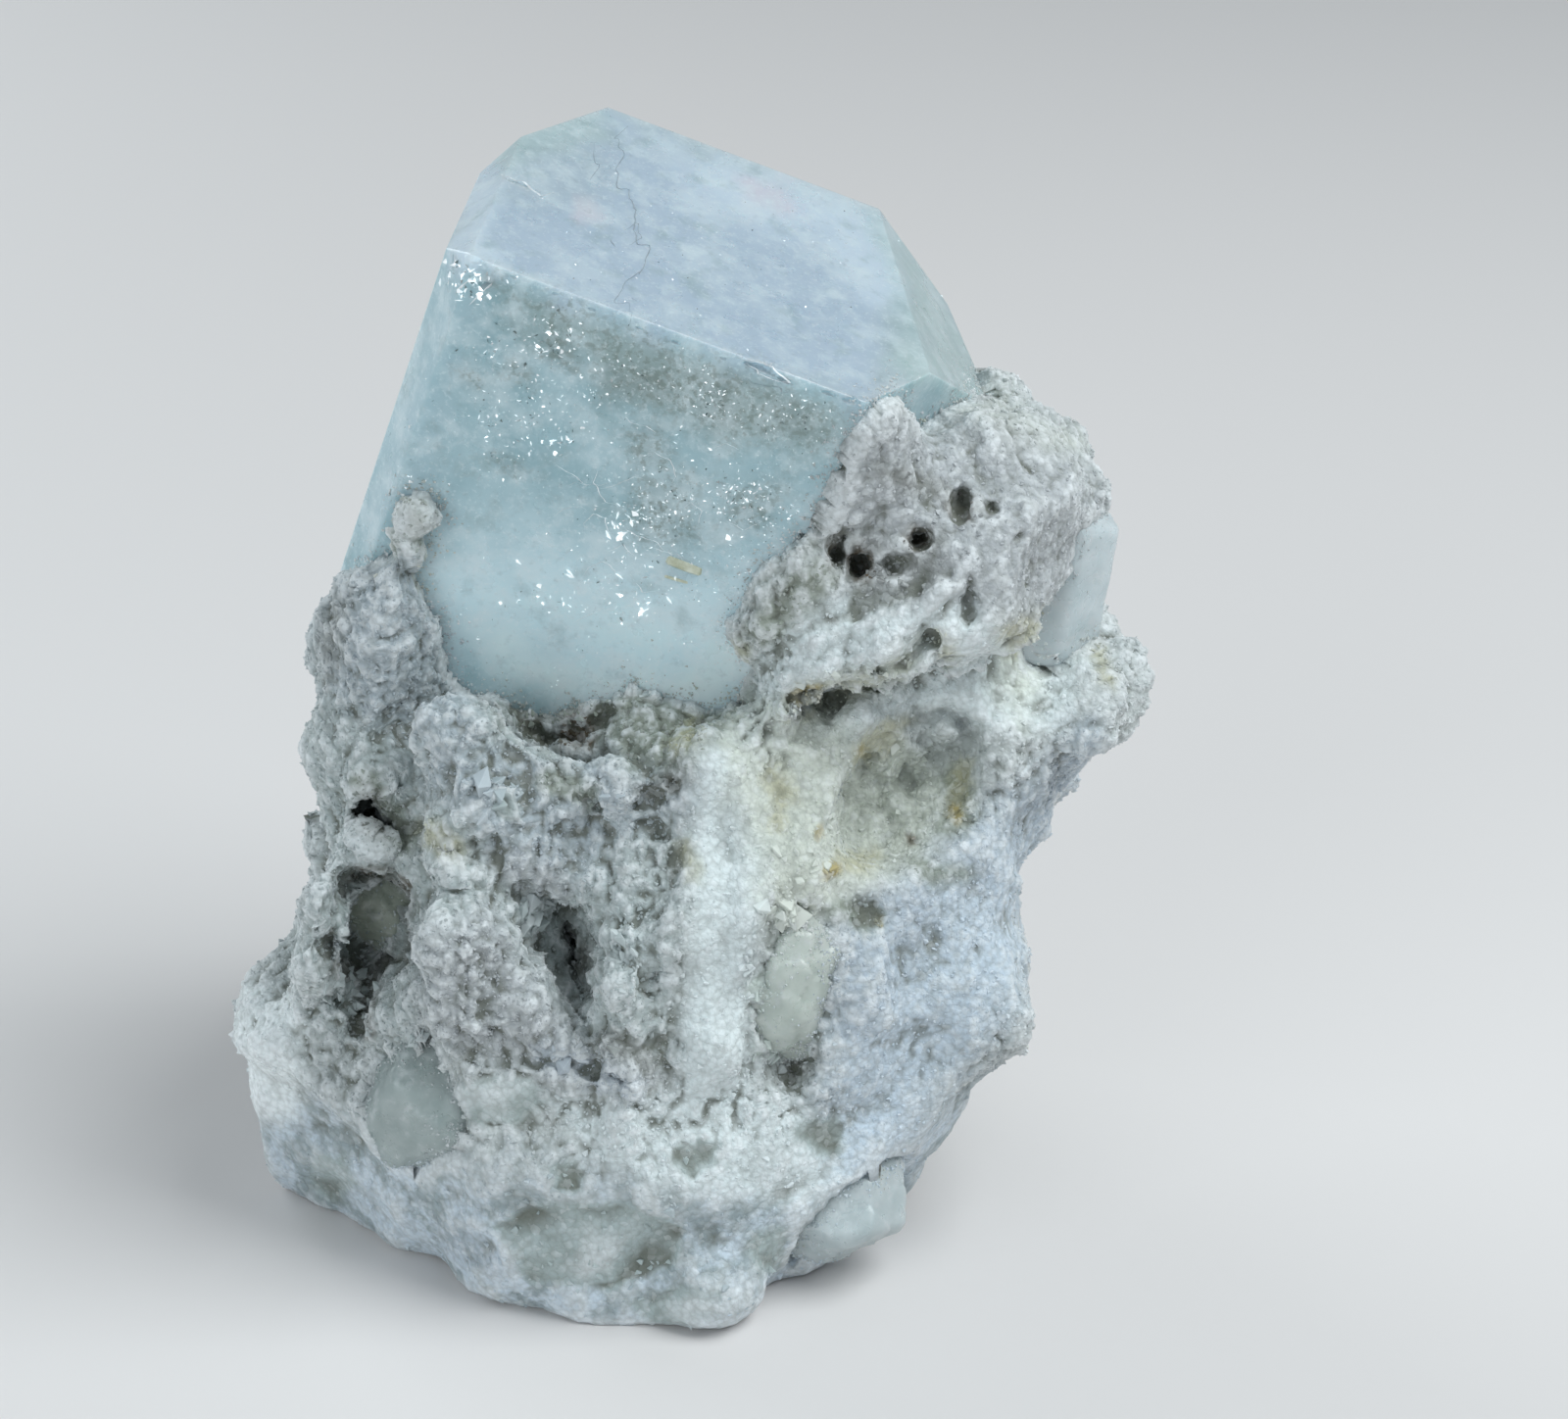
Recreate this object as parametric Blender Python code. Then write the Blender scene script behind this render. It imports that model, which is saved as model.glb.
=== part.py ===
"""A stubby aquamarine crystal standing in its matrix of sugary white feldspar.

The matrix is a broken lump of rock: a lofted blank, with swells added and hollows taken out,
roughened all over and broken off flat underneath, where it rests. The crystal is a six-sided
prism cut by its own flat faces. A second small crystal and a few glassy quartz grains sit in
pockets of the matrix. Lengths below are in millimetres; +Z is up and the front is -Y.
"""

import math
import random

import bmesh
import bpy
from mathutils import Matrix, Vector, noise

MM = 0.001
FIT_GAP = 0.3  # between any two pieces that touch
RAW_BLOCK = 120.0  # block that the flat-faced pieces are cut from, larger than any of them
GOLDEN_ANGLE = math.pi * (3.0 - math.sqrt(5.0))

# ---- the main crystal -------------------------------------------------------------------
TOP_CENTRE = (-0.15, -0.14, 36.27)  # middle of the flat top face
LEAN_RIGHT = 19.0  # degrees that the long axis leans to +X
LEAN_FRONT = 13.0  # degrees that it leans to the front
FRONT_HEADING = -8.3  # degrees that the wide front face is turned to the right (+X)
# Each flat face: its turn about the long axis from the front face, its slope away from the
# top face (90 is a side of the prism), and its distance from the top face's middle.
CRYSTAL_FACES = {
    "front": (0, 90, 5.5),
    "front_right": (60, 90, 9.2),
    "back_right": (120, 90, 12.0),
    "back": (180, 90, 7.05),
    "back_left": (-120, 90, 6.82),
    "front_left": (-60, 90, 8.0),
    "left_corner": (-90, 90, 7.0),
    "top": (0, 0, 0.0),
    "top_left_bevel": (-90, 50, 4.7),
    "top_right_bevel": (108, 38, 5.0),
    "broken_root": (-90, 158, 17.5),
}

# ---- the matrix's blank -----------------------------------------------------------------
# Level sections: height, the left, right, front and back limits, and squareness, where 2 is
# an ellipse, more is boxier and less is nearer a diamond.
LEVELS = (
    (-1.5, -15.6, 7.4, -10.0, 8.4, 1.6),
    (0.0, -16.2, 8.0, -10.4, 8.8, 1.6),
    (2.0, -16.2, 8.8, -10.6, 9.6, 1.7),
    (4.2, -16.2, 9.6, -10.6, 10.6, 2.0),
    (6.2, -15.8, 10.8, -10.2, 11.4, 2.1),
    (8.2, -15.0, 11.4, -9.6, 12.1, 2.3),
    (10.5, -14.2, 11.9, -8.9, 12.7, 2.4),
    (13.5, -13.4, 12.7, -7.9, 13.2, 2.5),
    (16.0, -12.8, 13.4, -7.0, 13.3, 2.5),
    (19.0, -12.4, 14.8, -5.4, 13.0, 2.5),
    (21.5, -12.4, 14.6, -2.6, 12.4, 2.5),
    (23.5, -11.8, 14.2, -0.4, 11.4, 2.4),
    (25.5, -8.0, 13.8, 0.4, 10.2, 2.2),
    (26.8, -2.0, 12.6, 1.8, 8.6, 2.0),
)
SECTION_POINTS = 40

# Swells of the rock: centre, half sizes, and degrees of lean towards +X.
SWELLS = {
    "left_collar": ((-10.3, -0.6, 22.4), (2.8, 3.2, 4.0), 14),
    "left_spire": ((-9.3, -3.5, 26.2), (1.0, 1.0, 2.7), 12),
    "left_shoulder": ((-11.2, -1.6, 17.6), (2.1, 3.0, 3.4), 6),
    "left_foot": ((-14.0, -2.6, 6.4), (2.5, 3.6, 3.2), 0),
    "left_toe": ((-13.6, -1.2, 2.2), (2.4, 2.6, 2.4), 0),
    "left_heel": ((-9.2, -4.6, 1.8), (2.0, 2.2, 2.8), 0),
    "front_toe": ((0.4, -8.0, 1.2), (2.6, 2.8, 2.4), 0),
    "collar_ridge": ((-6.7, -5.4, 20.0), (3.4, 1.2, 1.5), 38),
    "collar_step": ((-2.8, -5.9, 18.7), (2.3, 1.2, 1.0), 0),
    "centre_lump": ((-6.6, -5.6, 17.0), (2.4, 1.8, 1.7), 10),
    "centre_bench": ((-4.6, -7.0, 9.4), (4.4, 1.8, 2.2), -8),
    "ridge_top": ((0.8, -5.6, 17.8), (1.5, 1.6, 2.9), 4),
    "ridge_middle": ((0.6, -7.1, 14.4), (1.5, 1.6, 3.2), -2),
    "ridge_foot": ((1.0, -8.1, 10.8), (1.7, 1.6, 3.0), -4),
    "rib_left": ((-12.5, -4.8, 13.0), (0.9, 2.2, 4.2), 16),
    "rib_middle": ((-8.0, -7.4, 12.6), (1.5, 2.0, 4.0), 4),
    "pillar": ((-2.3, -7.6, 12.4), (1.2, 1.4, 2.8), -4),
    "right_block": ((9.0, -0.4, 26.2), (5.0, 5.0, 4.3), 16),
    "right_cheek": ((5.5, -3.9, 30.4), (2.2, 2.2, 3.4), 18),
    "right_jaw": ((3.6, -4.0, 25.2), (2.3, 1.8, 3.4), 28),
    "right_rim": ((12.4, 2.2, 25.9), (2.9, 3.6, 2.7), 24),
    "right_lump": ((13.6, 0.6, 19.6), (2.2, 3.0, 2.2), 0),
    "right_brow": ((7.0, -4.9, 23.2), (5.4, 1.9, 1.1), -28),
    "right_crown": ((9.9, 3.6, 28.9), (2.0, 2.8, 1.9), 30),
    "right_flank": ((10.0, -3.4, 9.6), (2.0, 2.6, 3.8), 8),
}
# Hollows broken into it, given in the same way.
HOLLOWS = {
    "left_eye": ((-10.5, -5.0, 17.0), (0.95, 2.1, 1.0), 20),
    "left_throat": ((-10.8, -5.8, 12.9), (1.5, 3.0, 2.2), 16),
    "left_groove": ((-11.3, -6.8, 9.7), (0.7, 1.4, 1.7), 4),
    "centre_cave": ((-4.2, -7.8, 13.5), (1.4, 3.0, 2.5), -20),
    "collar_crevice": ((-4.0, -4.3, 20.2), (2.6, 1.0, 2.2), 24),
    "brow_hollow": ((5.0, -5.6, 20.9), (3.0, 2.6, 1.0), -28),
    "right_hollow": ((8.4, -5.0, 17.9), (3.8, 3.4, 2.2), -28),
    "right_gash": ((7.8, -3.9, 26.2), (2.2, 1.2, 0.6), -14),
    "flank_pit": ((3.9, -9.0, 9.4), (1.0, 2.0, 0.9), 0),
    "side_notch": ((15.4, 0.6, 22.0), (1.2, 2.6, 0.8), 0),
}
# Flat fractures that broke the rock off its vein: a point, and the way each one faces.
FRACTURES = {
    "back": ((0.0, 11.9, 12.0), (0.22, 0.96, 0.16)),
    "back_right": ((9.6, 8.8, 12.0), (0.80, 0.58, -0.16)),
    "back_left": ((-10.0, 8.4, 12.0), (-0.82, 0.56, -0.06)),
    "back_low": ((0.0, 10.0, 4.6), (-0.12, 0.80, -0.58)),
    "front_left_low": ((-11.8, -4.2, 0.0), (-0.60, -0.74, -0.30)),
    "left_high": ((-11.6, 4.0, 21.4), (-0.72, 0.34, 0.60)),
}
SWELL_ROUGHNESS = 0.16  # share of a swell's or a hollow's half size
SWELL_WAVES = 1.9  # waves of that roughness in one half size
BLANK_VOXEL = 0.6
ROCK_VOXEL = 0.55
ROCK_WAVES = ((3.4, 0.9), (1.7, 0.5))  # size of the smooth roughness, and its depth
ROCK_KNOBS = (2.1, 0.55)  # spacing of the rounded knobs, and their height
MATRIX_TRIANGLES = 6600
BASE_POINT = (0.0, 0.0, 0.0)  # on the level break that the specimen rests on
DOWN = (0.0, 0.0, -1.0)

# ---- the small pieces in pockets of the rock --------------------------------------------
# Centre, half sizes, degrees of lean towards +X, number of flat faces, colour.
GRAINS = {
    "quartz_grain_left": ((-8.9, -6.9, 7.2), (1.9, 1.7, 2.2), 10, 12, (0.52, 0.60, 0.57)),
    "quartz_grain_right": ((5.2, -6.4, 2.7), (2.4, 1.9, 1.7), -20, 12, (0.55, 0.62, 0.58)),
    "quartz_grain_vein": ((3.6, -6.8, 11.6), (1.2, 1.5, 2.3), 16, 12, (0.60, 0.66, 0.60)),
    "quartz_grain_hollow": ((-10.8, -2.4, 13.0), (1.4, 1.4, 1.7), 12, 10, (0.42, 0.48, 0.42)),
}
GRAIN_JITTER = 0.25  # radians that each flat face of a grain may stray sideways
GRAIN_CHIP = 0.14  # share of a grain's half size that a flat face may cut in by

SIDE_CRYSTAL_CENTRE = (12.9, 1.4, 23.5)
SIDE_CRYSTAL_RADIUS = 1.6
SIDE_CRYSTAL_LENGTH = 5.2
SIDE_CRYSTAL_LEAN = 8.0  # degrees towards +X
SIDE_CRYSTAL_TURN = 12.0  # degrees about its long axis
SIDE_CRYSTAL_SLANT = 0.22  # how far its end faces are off square, as a slope


def new_material(name, colour, roughness, alpha=1.0):
    material = bpy.data.materials.new(name)
    material.use_nodes = True
    shader = material.node_tree.nodes["Principled BSDF"]
    shader.inputs["Base Color"].default_value = (*colour, 1.0)
    shader.inputs["Roughness"].default_value = roughness
    shader.inputs["Metallic"].default_value = 0.0
    shader.inputs["Alpha"].default_value = alpha
    return material


def new_object(name, bm, material=None):
    """Turn a bmesh in millimetres into an object in metres."""
    bmesh.ops.recalc_face_normals(bm, faces=bm.faces)
    bmesh.ops.scale(bm, vec=(MM, MM, MM), verts=bm.verts)
    mesh = bpy.data.meshes.new(name)
    bm.to_mesh(mesh)
    bm.free()
    if material:
        mesh.materials.append(material)
    made = bpy.data.objects.new(name, mesh)
    bpy.context.collection.objects.link(made)
    return made


def hide_as_helper(helper):
    helper.hide_render = True
    helper.display_type = "WIRE"


def apply_modifiers(made):
    """Replace the object's mesh with its evaluated one, and drop its modifiers."""
    graph = bpy.context.evaluated_depsgraph_get()
    mesh = bpy.data.meshes.new_from_object(made.evaluated_get(graph))
    made.modifiers.clear()
    made.data = mesh


def cut_solid(planes, grow=0.0):
    """The solid behind every plane (point, outward normal), each moved out by grow."""
    bm = bmesh.new()
    bmesh.ops.create_cube(bm, size=RAW_BLOCK)
    bmesh.ops.translate(bm, verts=bm.verts, vec=planes[0][0])
    for point, normal in planes:
        bmesh.ops.bisect_plane(
            bm,
            geom=bm.verts[:] + bm.edges[:] + bm.faces[:],
            dist=1e-5,
            plane_co=point + normal * grow,
            plane_no=normal,
            clear_outer=True,
        )
        bmesh.ops.holes_fill(bm, edges=[edge for edge in bm.edges if edge.is_boundary])
    return bm


# ---- the main crystal -------------------------------------------------------------------
def crystal_planes():
    """The crystal's faces as planes, laid out about its leaning long axis."""
    lean_x = math.tan(math.radians(LEAN_RIGHT))
    lean_y = -math.tan(math.radians(LEAN_FRONT))
    axis = Vector((lean_x, lean_y, 1.0)).normalized()
    heading = math.radians(FRONT_HEADING)
    level = Vector((math.sin(heading), -math.cos(heading), 0.0))
    # The front face runs along the axis, so its normal dips until it is square to the axis.
    dip = Vector((0.0, 0.0, level.dot(axis) / axis.z))
    front = (level - dip).normalized()
    side = axis.cross(front)
    planes = []
    for turn, slope, distance in CRYSTAL_FACES.values():
        turn = math.radians(turn)
        slope = math.radians(slope)
        outward = math.cos(turn) * front + math.sin(turn) * side
        normal = math.cos(slope) * axis + math.sin(slope) * outward
        planes.append((Vector(TOP_CENTRE) + normal * distance, normal))
    return planes


# ---- the small pieces -------------------------------------------------------------------
def grain_planes(centre, half, lean, faces, seed):
    """Flat broken faces spread evenly over an ellipsoid, and then jittered."""
    rng = random.Random(seed)
    turned = Matrix.Rotation(math.radians(lean), 3, "Y")
    planes = []
    for index in range(faces):
        height = 1.0 - 2.0 * (index + 0.5) / faces
        around = math.sqrt(1.0 - height * height)
        angle = index * GOLDEN_ANGLE + rng.uniform(-GRAIN_JITTER, GRAIN_JITTER)
        outward = Vector((around * math.cos(angle), around * math.sin(angle), height))
        touch = Vector(size * part for size, part in zip(half, outward))
        touch *= rng.uniform(1.0 - GRAIN_CHIP, 1.0)
        normal = Vector(part / size for size, part in zip(half, outward)).normalized()
        planes.append((Vector(centre) + turned @ touch, turned @ normal))
    return planes


def side_crystal_planes():
    """A small six-sided prism, closed by two slanting ends."""
    turned = Matrix.Rotation(math.radians(SIDE_CRYSTAL_LEAN), 3, "Y")
    centre = Vector(SIDE_CRYSTAL_CENTRE)
    planes = []
    for index in range(6):
        angle = math.radians(60 * index + SIDE_CRYSTAL_TURN)
        outward = turned @ Vector((math.cos(angle), math.sin(angle), 0.0))
        planes.append((centre + outward * SIDE_CRYSTAL_RADIUS, outward))
    for end in (-1, 1):
        outward = turned @ Vector((SIDE_CRYSTAL_SLANT, 0.0, end)).normalized()
        planes.append((centre + outward * SIDE_CRYSTAL_LENGTH / 2, outward))
    return planes


# ---- the matrix -------------------------------------------------------------------------
def add_blank(bm):
    """Loft the level sections, and close both ends."""
    rings = []
    for height, left, right, front, back, squareness in LEVELS:
        power = 2.0 / squareness
        ring = []
        for step in range(SECTION_POINTS):
            angle = 2 * math.pi * step / SECTION_POINTS
            across = math.copysign(abs(math.cos(angle)) ** power, math.cos(angle))
            along = math.copysign(abs(math.sin(angle)) ** power, math.sin(angle))
            x = (left + right) / 2 + across * (right - left) / 2
            y = (front + back) / 2 + along * (back - front) / 2
            ring.append(bm.verts.new((x, y, height)))
        rings.append(ring)
    for lower, upper in zip(rings, rings[1:]):
        for step in range(SECTION_POINTS):
            after = (step + 1) % SECTION_POINTS
            bm.faces.new((lower[step], lower[after], upper[after], upper[step]))
    bm.faces.new(reversed(rings[0]))
    bm.faces.new(rings[-1])


def add_lump(bm, centre, half, lean):
    """One rough ellipsoid, leaning in the front view."""
    made = bmesh.ops.create_icosphere(bm, subdivisions=3, radius=1.0)["verts"]
    turned = Matrix.Rotation(math.radians(lean), 3, "Y")
    for vert in made:
        swell = 1.0 + SWELL_ROUGHNESS * noise.noise(vert.co * SWELL_WAVES + Vector(centre))
        local = Vector(size * part * swell for size, part in zip(half, vert.co))
        vert.co = Vector(centre) + turned @ local


def fuse_skin(made, voxel):
    """Turn overlapping or folded shells into one even skin."""
    remesh = made.modifiers.new("one_skin", "REMESH")
    remesh.mode = "VOXEL"
    remesh.voxel_size = voxel * MM
    apply_modifiers(made)


def subtract(made, cutter):
    cut = made.modifiers.new("cut_" + cutter.name, "BOOLEAN")
    cut.operation = "DIFFERENCE"
    cut.solver = "EXACT"
    cut.object = cutter


def break_off(made, point, outward):
    """Cut off what lies beyond a plane, and close the cut."""
    bm = bmesh.new()
    bm.from_mesh(made.data)
    bmesh.ops.bisect_plane(
        bm,
        geom=bm.verts[:] + bm.edges[:] + bm.faces[:],
        dist=1e-6,
        plane_co=Vector(point) * MM,
        plane_no=Vector(outward).normalized(),
        clear_outer=True,
    )
    bmesh.ops.holes_fill(bm, edges=[edge for edge in bm.edges if edge.is_boundary])
    bm.to_mesh(made.data)
    bm.free()


def roughen(made):
    """Push the skin in and out along its normals with fixed noise."""
    bm = bmesh.new()
    bm.from_mesh(made.data)
    bm.normal_update()
    moved = []
    for vert in bm.verts:
        place = vert.co / MM
        push = 0.0
        for size, depth in ROCK_WAVES:
            push += depth * noise.noise(place / size)
        spacing, depth = ROCK_KNOBS
        push += depth * (0.5 - noise.voronoi(place / spacing)[0][0])
        moved.append(vert.co + vert.normal * push * MM)
    for vert, place in zip(bm.verts, moved):
        vert.co = place
    bm.to_mesh(made.data)
    bm.free()


def keep_largest_piece(made):
    """Drop the crumbs that a socket leaves behind."""
    bm = bmesh.new()
    bm.from_mesh(made.data)
    bmesh.ops.triangulate(bm, faces=bm.faces)
    unseen = set(bm.verts)
    pieces = []
    while unseen:
        piece = set()
        front = [unseen.pop()]
        while front:
            vert = front.pop()
            piece.add(vert)
            for edge in vert.link_edges:
                other = edge.other_vert(vert)
                if other in unseen:
                    unseen.remove(other)
                    front.append(other)
        pieces.append(piece)
    pieces.sort(key=len)
    crumbs = [vert for piece in pieces[:-1] for vert in piece]
    bmesh.ops.delete(bm, geom=crumbs, context="VERTS")
    bm.to_mesh(made.data)
    bm.free()


def make_rough_lump():
    """The matrix before its pockets are cut: blank, swells, fractures, hollows, rough skin."""
    blank = bmesh.new()
    add_blank(blank)
    for centre, half, lean in SWELLS.values():
        add_lump(blank, centre, half, lean)
    lump = new_object("matrix", blank)
    fuse_skin(lump, BLANK_VOXEL)
    for point, outward in FRACTURES.values():
        break_off(lump, point, outward)

    hollow = bmesh.new()
    for centre, half, lean in HOLLOWS.values():
        add_lump(hollow, centre, half, lean)
    hollows = new_object("hollows", hollow)
    hide_as_helper(hollows)
    fuse_skin(hollows, BLANK_VOXEL)
    subtract(lump, hollows)
    apply_modifiers(lump)

    fuse_skin(lump, ROCK_VOXEL)
    roughen(lump)
    fuse_skin(lump, ROCK_VOXEL)
    triangles = 2 * len(lump.data.polygons)
    fewer = lump.modifiers.new("fewer_faces", "DECIMATE")
    fewer.ratio = MATRIX_TRIANGLES / triangles
    apply_modifiers(lump)
    break_off(lump, BASE_POINT, DOWN)
    return lump


def build():
    for old in list(bpy.data.objects):
        bpy.data.objects.remove(old, do_unlink=True)

    feldspar = new_material("feldspar", (0.66, 0.66, 0.68), 0.75)
    aquamarine = new_material("aquamarine", (0.56, 0.74, 0.78), 0.15, 0.6)
    side_quartz = new_material("side_quartz", (0.60, 0.72, 0.72), 0.2, 0.7)

    solids = {"aquamarine_crystal": (crystal_planes(), aquamarine)}
    solids["side_crystal"] = (side_crystal_planes(), side_quartz)
    for seed, (name, (centre, half, lean, faces, colour)) in enumerate(GRAINS.items()):
        glassy = new_material(name, colour, 0.25, 0.8)
        solids[name] = (grain_planes(centre, half, lean, faces, seed), glassy)

    matrix = make_rough_lump()
    for name, (planes, material) in solids.items():
        new_object(name, cut_solid(planes), material)
        socket = new_object(name + "_socket", cut_solid(planes, FIT_GAP))
        hide_as_helper(socket)
        subtract(matrix, socket)
    apply_modifiers(matrix)
    keep_largest_piece(matrix)
    matrix.data.materials.clear()
    matrix.data.materials.append(feldspar)


build()
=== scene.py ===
"""An aquamarine crystal in its matrix: a stubby pale blue prism standing in sugary feldspar.

The sections follow the specimen as it is put together: where it stands, the broken rock, the sugar
grains and loose chips on it, the main crystal with what is inside it, the small glassy pieces in the
rock, and the crumbs at their joints.
Lengths in the tables are millimetres. The frame and the meshes are in metres.
"""

import math

import bmesh
import bpy
import numpy as np
from mathutils import Matrix, Vector, noise
from mathutils.bvhtree import BVHTree


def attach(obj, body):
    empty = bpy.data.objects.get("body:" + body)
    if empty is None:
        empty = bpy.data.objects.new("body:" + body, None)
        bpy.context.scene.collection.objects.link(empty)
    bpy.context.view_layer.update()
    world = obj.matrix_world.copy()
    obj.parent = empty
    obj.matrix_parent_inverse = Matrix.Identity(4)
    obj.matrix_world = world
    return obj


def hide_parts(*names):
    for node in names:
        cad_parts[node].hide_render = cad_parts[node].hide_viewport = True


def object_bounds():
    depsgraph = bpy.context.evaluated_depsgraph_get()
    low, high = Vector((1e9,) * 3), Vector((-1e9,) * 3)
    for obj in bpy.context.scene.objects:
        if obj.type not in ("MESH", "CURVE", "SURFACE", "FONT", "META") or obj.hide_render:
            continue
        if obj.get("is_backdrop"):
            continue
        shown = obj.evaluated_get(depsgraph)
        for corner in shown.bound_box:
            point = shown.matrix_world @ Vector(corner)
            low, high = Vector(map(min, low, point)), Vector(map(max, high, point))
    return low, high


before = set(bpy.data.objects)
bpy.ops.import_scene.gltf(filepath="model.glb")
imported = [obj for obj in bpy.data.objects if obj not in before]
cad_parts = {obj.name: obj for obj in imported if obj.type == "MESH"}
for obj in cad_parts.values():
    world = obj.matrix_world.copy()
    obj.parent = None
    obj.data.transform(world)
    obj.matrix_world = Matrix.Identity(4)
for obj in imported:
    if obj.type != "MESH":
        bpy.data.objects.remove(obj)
cad_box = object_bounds()

# ---- where it stands --------------------------------------------------------------------
# A pale matt table under plain soft light. The specimen is small, so it is looked at from close
# by and a little above, and a broad lamp high on the right brings out the grain of the rock.
MM = 0.001
VIEW_WIDTH, VIEW_HEIGHT = 1600, 1448
VIEW_LENS = 90.0
VIEW_SENSOR = 36.0
VIEW_DOWN = math.radians(25.0)
VIEW_TARGET = Vector((3.4, 0.0, 19.0)) * MM
VIEW_DISTANCE = 138.0 * MM
VIEW_AHEAD = Vector((0.0, math.cos(VIEW_DOWN), -math.sin(VIEW_DOWN)))
VIEW_ABOVE = Vector((0.0, math.sin(VIEW_DOWN), math.cos(VIEW_DOWN)))
VIEW_EYE = VIEW_TARGET - VIEW_AHEAD * VIEW_DISTANCE

camera_data = bpy.data.cameras.new("table_view")
camera_data.lens = VIEW_LENS
camera_data.sensor_width = VIEW_SENSOR
camera_data.clip_start = 0.005
camera = bpy.data.objects.new("table_view", camera_data)
camera.location = VIEW_EYE
camera.rotation_euler = (math.pi / 2 - VIEW_DOWN, 0.0, 0.0)
bpy.context.collection.objects.link(camera)
bpy.context.scene.camera = camera


def add_node(tree, kind, inputs=None, **settings):
    """Place a shader node; each input is a value, or the output that feeds it."""
    made = tree.nodes.new(kind)
    for name, value in settings.items():
        setattr(made, name, value)
    for name, value in (inputs or {}).items():
        if isinstance(value, bpy.types.NodeSocket):
            tree.links.new(value, made.inputs[name])
        else:
            made.inputs[name].default_value = value
    return made


def new_finish(name, **settings):
    """A material with one Principled shader, and its plain settings."""
    finish = bpy.data.materials.new(name)
    finish.use_nodes = True
    shader = finish.node_tree.nodes["Principled BSDF"]
    for setting, value in settings.items():
        shader.inputs[setting.replace("_", " ")].default_value = value
    return finish, finish.node_tree, shader


def tint(tree, share, under, over):
    """Lay one colour over another by a mask."""
    mixed = add_node(tree, "ShaderNodeMix", data_type="RGBA")
    for socket, value in zip((0, 6, 7), (share, under, over)):
        if isinstance(value, bpy.types.NodeSocket):
            tree.links.new(value, mixed.inputs[socket])
        elif socket:
            mixed.inputs[socket].default_value = (*value, 1.0)
        else:
            mixed.inputs[socket].default_value = value
    return mixed.outputs[2]


def new_piece(name, mesh, *finishes):
    """An object in the scene from a finished mesh."""
    piece = bpy.data.objects.new(name, mesh)
    bpy.context.collection.objects.link(piece)
    for finish in finishes:
        mesh.materials.append(finish)
    return piece


def mesh_from(name, places, faces):
    """A mesh from its points, in metres, and its faces."""
    mesh = bpy.data.meshes.new(name)
    mesh.from_pydata(places, [], faces)
    mesh.update()
    return mesh


TABLE_SIZE = 3.0
half = TABLE_SIZE / 2
corners = [(-half, -half, 0), (half, -half, 0), (half, half, 0), (-half, half, 0)]
table_finish, table_tree, table_shader = new_finish("table_paint", Roughness=0.6)
cloud = add_node(table_tree, "ShaderNodeTexNoise", {"Scale": 9.0, "Detail": 3.0})
table_colour = tint(table_tree, cloud.outputs["Fac"], (0.72, 0.69, 0.68), (0.76, 0.73, 0.72))
table_tree.links.new(table_colour, table_shader.inputs["Base Color"])
table = new_piece("table", mesh_from("table", corners, [(0, 1, 2, 3)]), table_finish)
table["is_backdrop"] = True

# Lamp: place, width, power in watts, colour. Each one faces the middle of the view.
LAMPS = {
    "high_right": ((150, -50, 240), 180, 0.68, (0.92, 0.98, 1.0)),
    "low_left": ((-200, -260, 120), 240, 0.39, (0.88, 0.96, 1.0)),
    "behind": ((-200, 170, 120), 180, 0.32, (0.90, 0.97, 1.0)),
}
for lamp_name, (place, width, power, colour) in LAMPS.items():
    lamp_data = bpy.data.lights.new(lamp_name, "AREA")
    lamp_data.size = width * MM
    lamp_data.energy = power
    lamp_data.color = colour
    lamp = bpy.data.objects.new(lamp_name, lamp_data)
    lamp.location = Vector(place) * MM
    lamp.rotation_euler = (VIEW_TARGET - lamp.location).to_track_quat("-Z", "Y").to_euler()
    bpy.context.collection.objects.link(lamp)

world = bpy.data.worlds.new("soft_room")
world.use_nodes = True
world.node_tree.nodes["Background"].inputs["Color"].default_value = (0.80, 0.90, 0.97, 1.0)
world.node_tree.nodes["Background"].inputs["Strength"].default_value = 0.26
bpy.context.scene.world = world
bpy.context.scene.view_settings.view_transform = "Standard"

# ---- the matrix -------------------------------------------------------------------------
# The rock that the crystal grew in: sugary white and grey feldspar with a little clay and iron
# in its hollows, broken off a vein, so that ribs, ledges, caves and pits are left all over it.
FORM_VOXEL = 0.20
ROCK_VOXEL = 0.145
ROCK_TRIANGLES = 194000
SIGHT_SLACK = 1.6  # rock this near behind the first surface in the table view still shows in it
PIXELS_PER_MM = 29.0
SOCKET_REACH = 0.45  # rock nearer than this to a piece that it holds is its socket
SOCKET_BITE = 0.09  # how far the socket's wall is pressed into that piece
POCKET_BITE = 3.0  # the rock closes this much further over the small glassy pieces
LEAST_COVER = 0.5  # rock that a hollow leaves in front of what it holds

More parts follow.
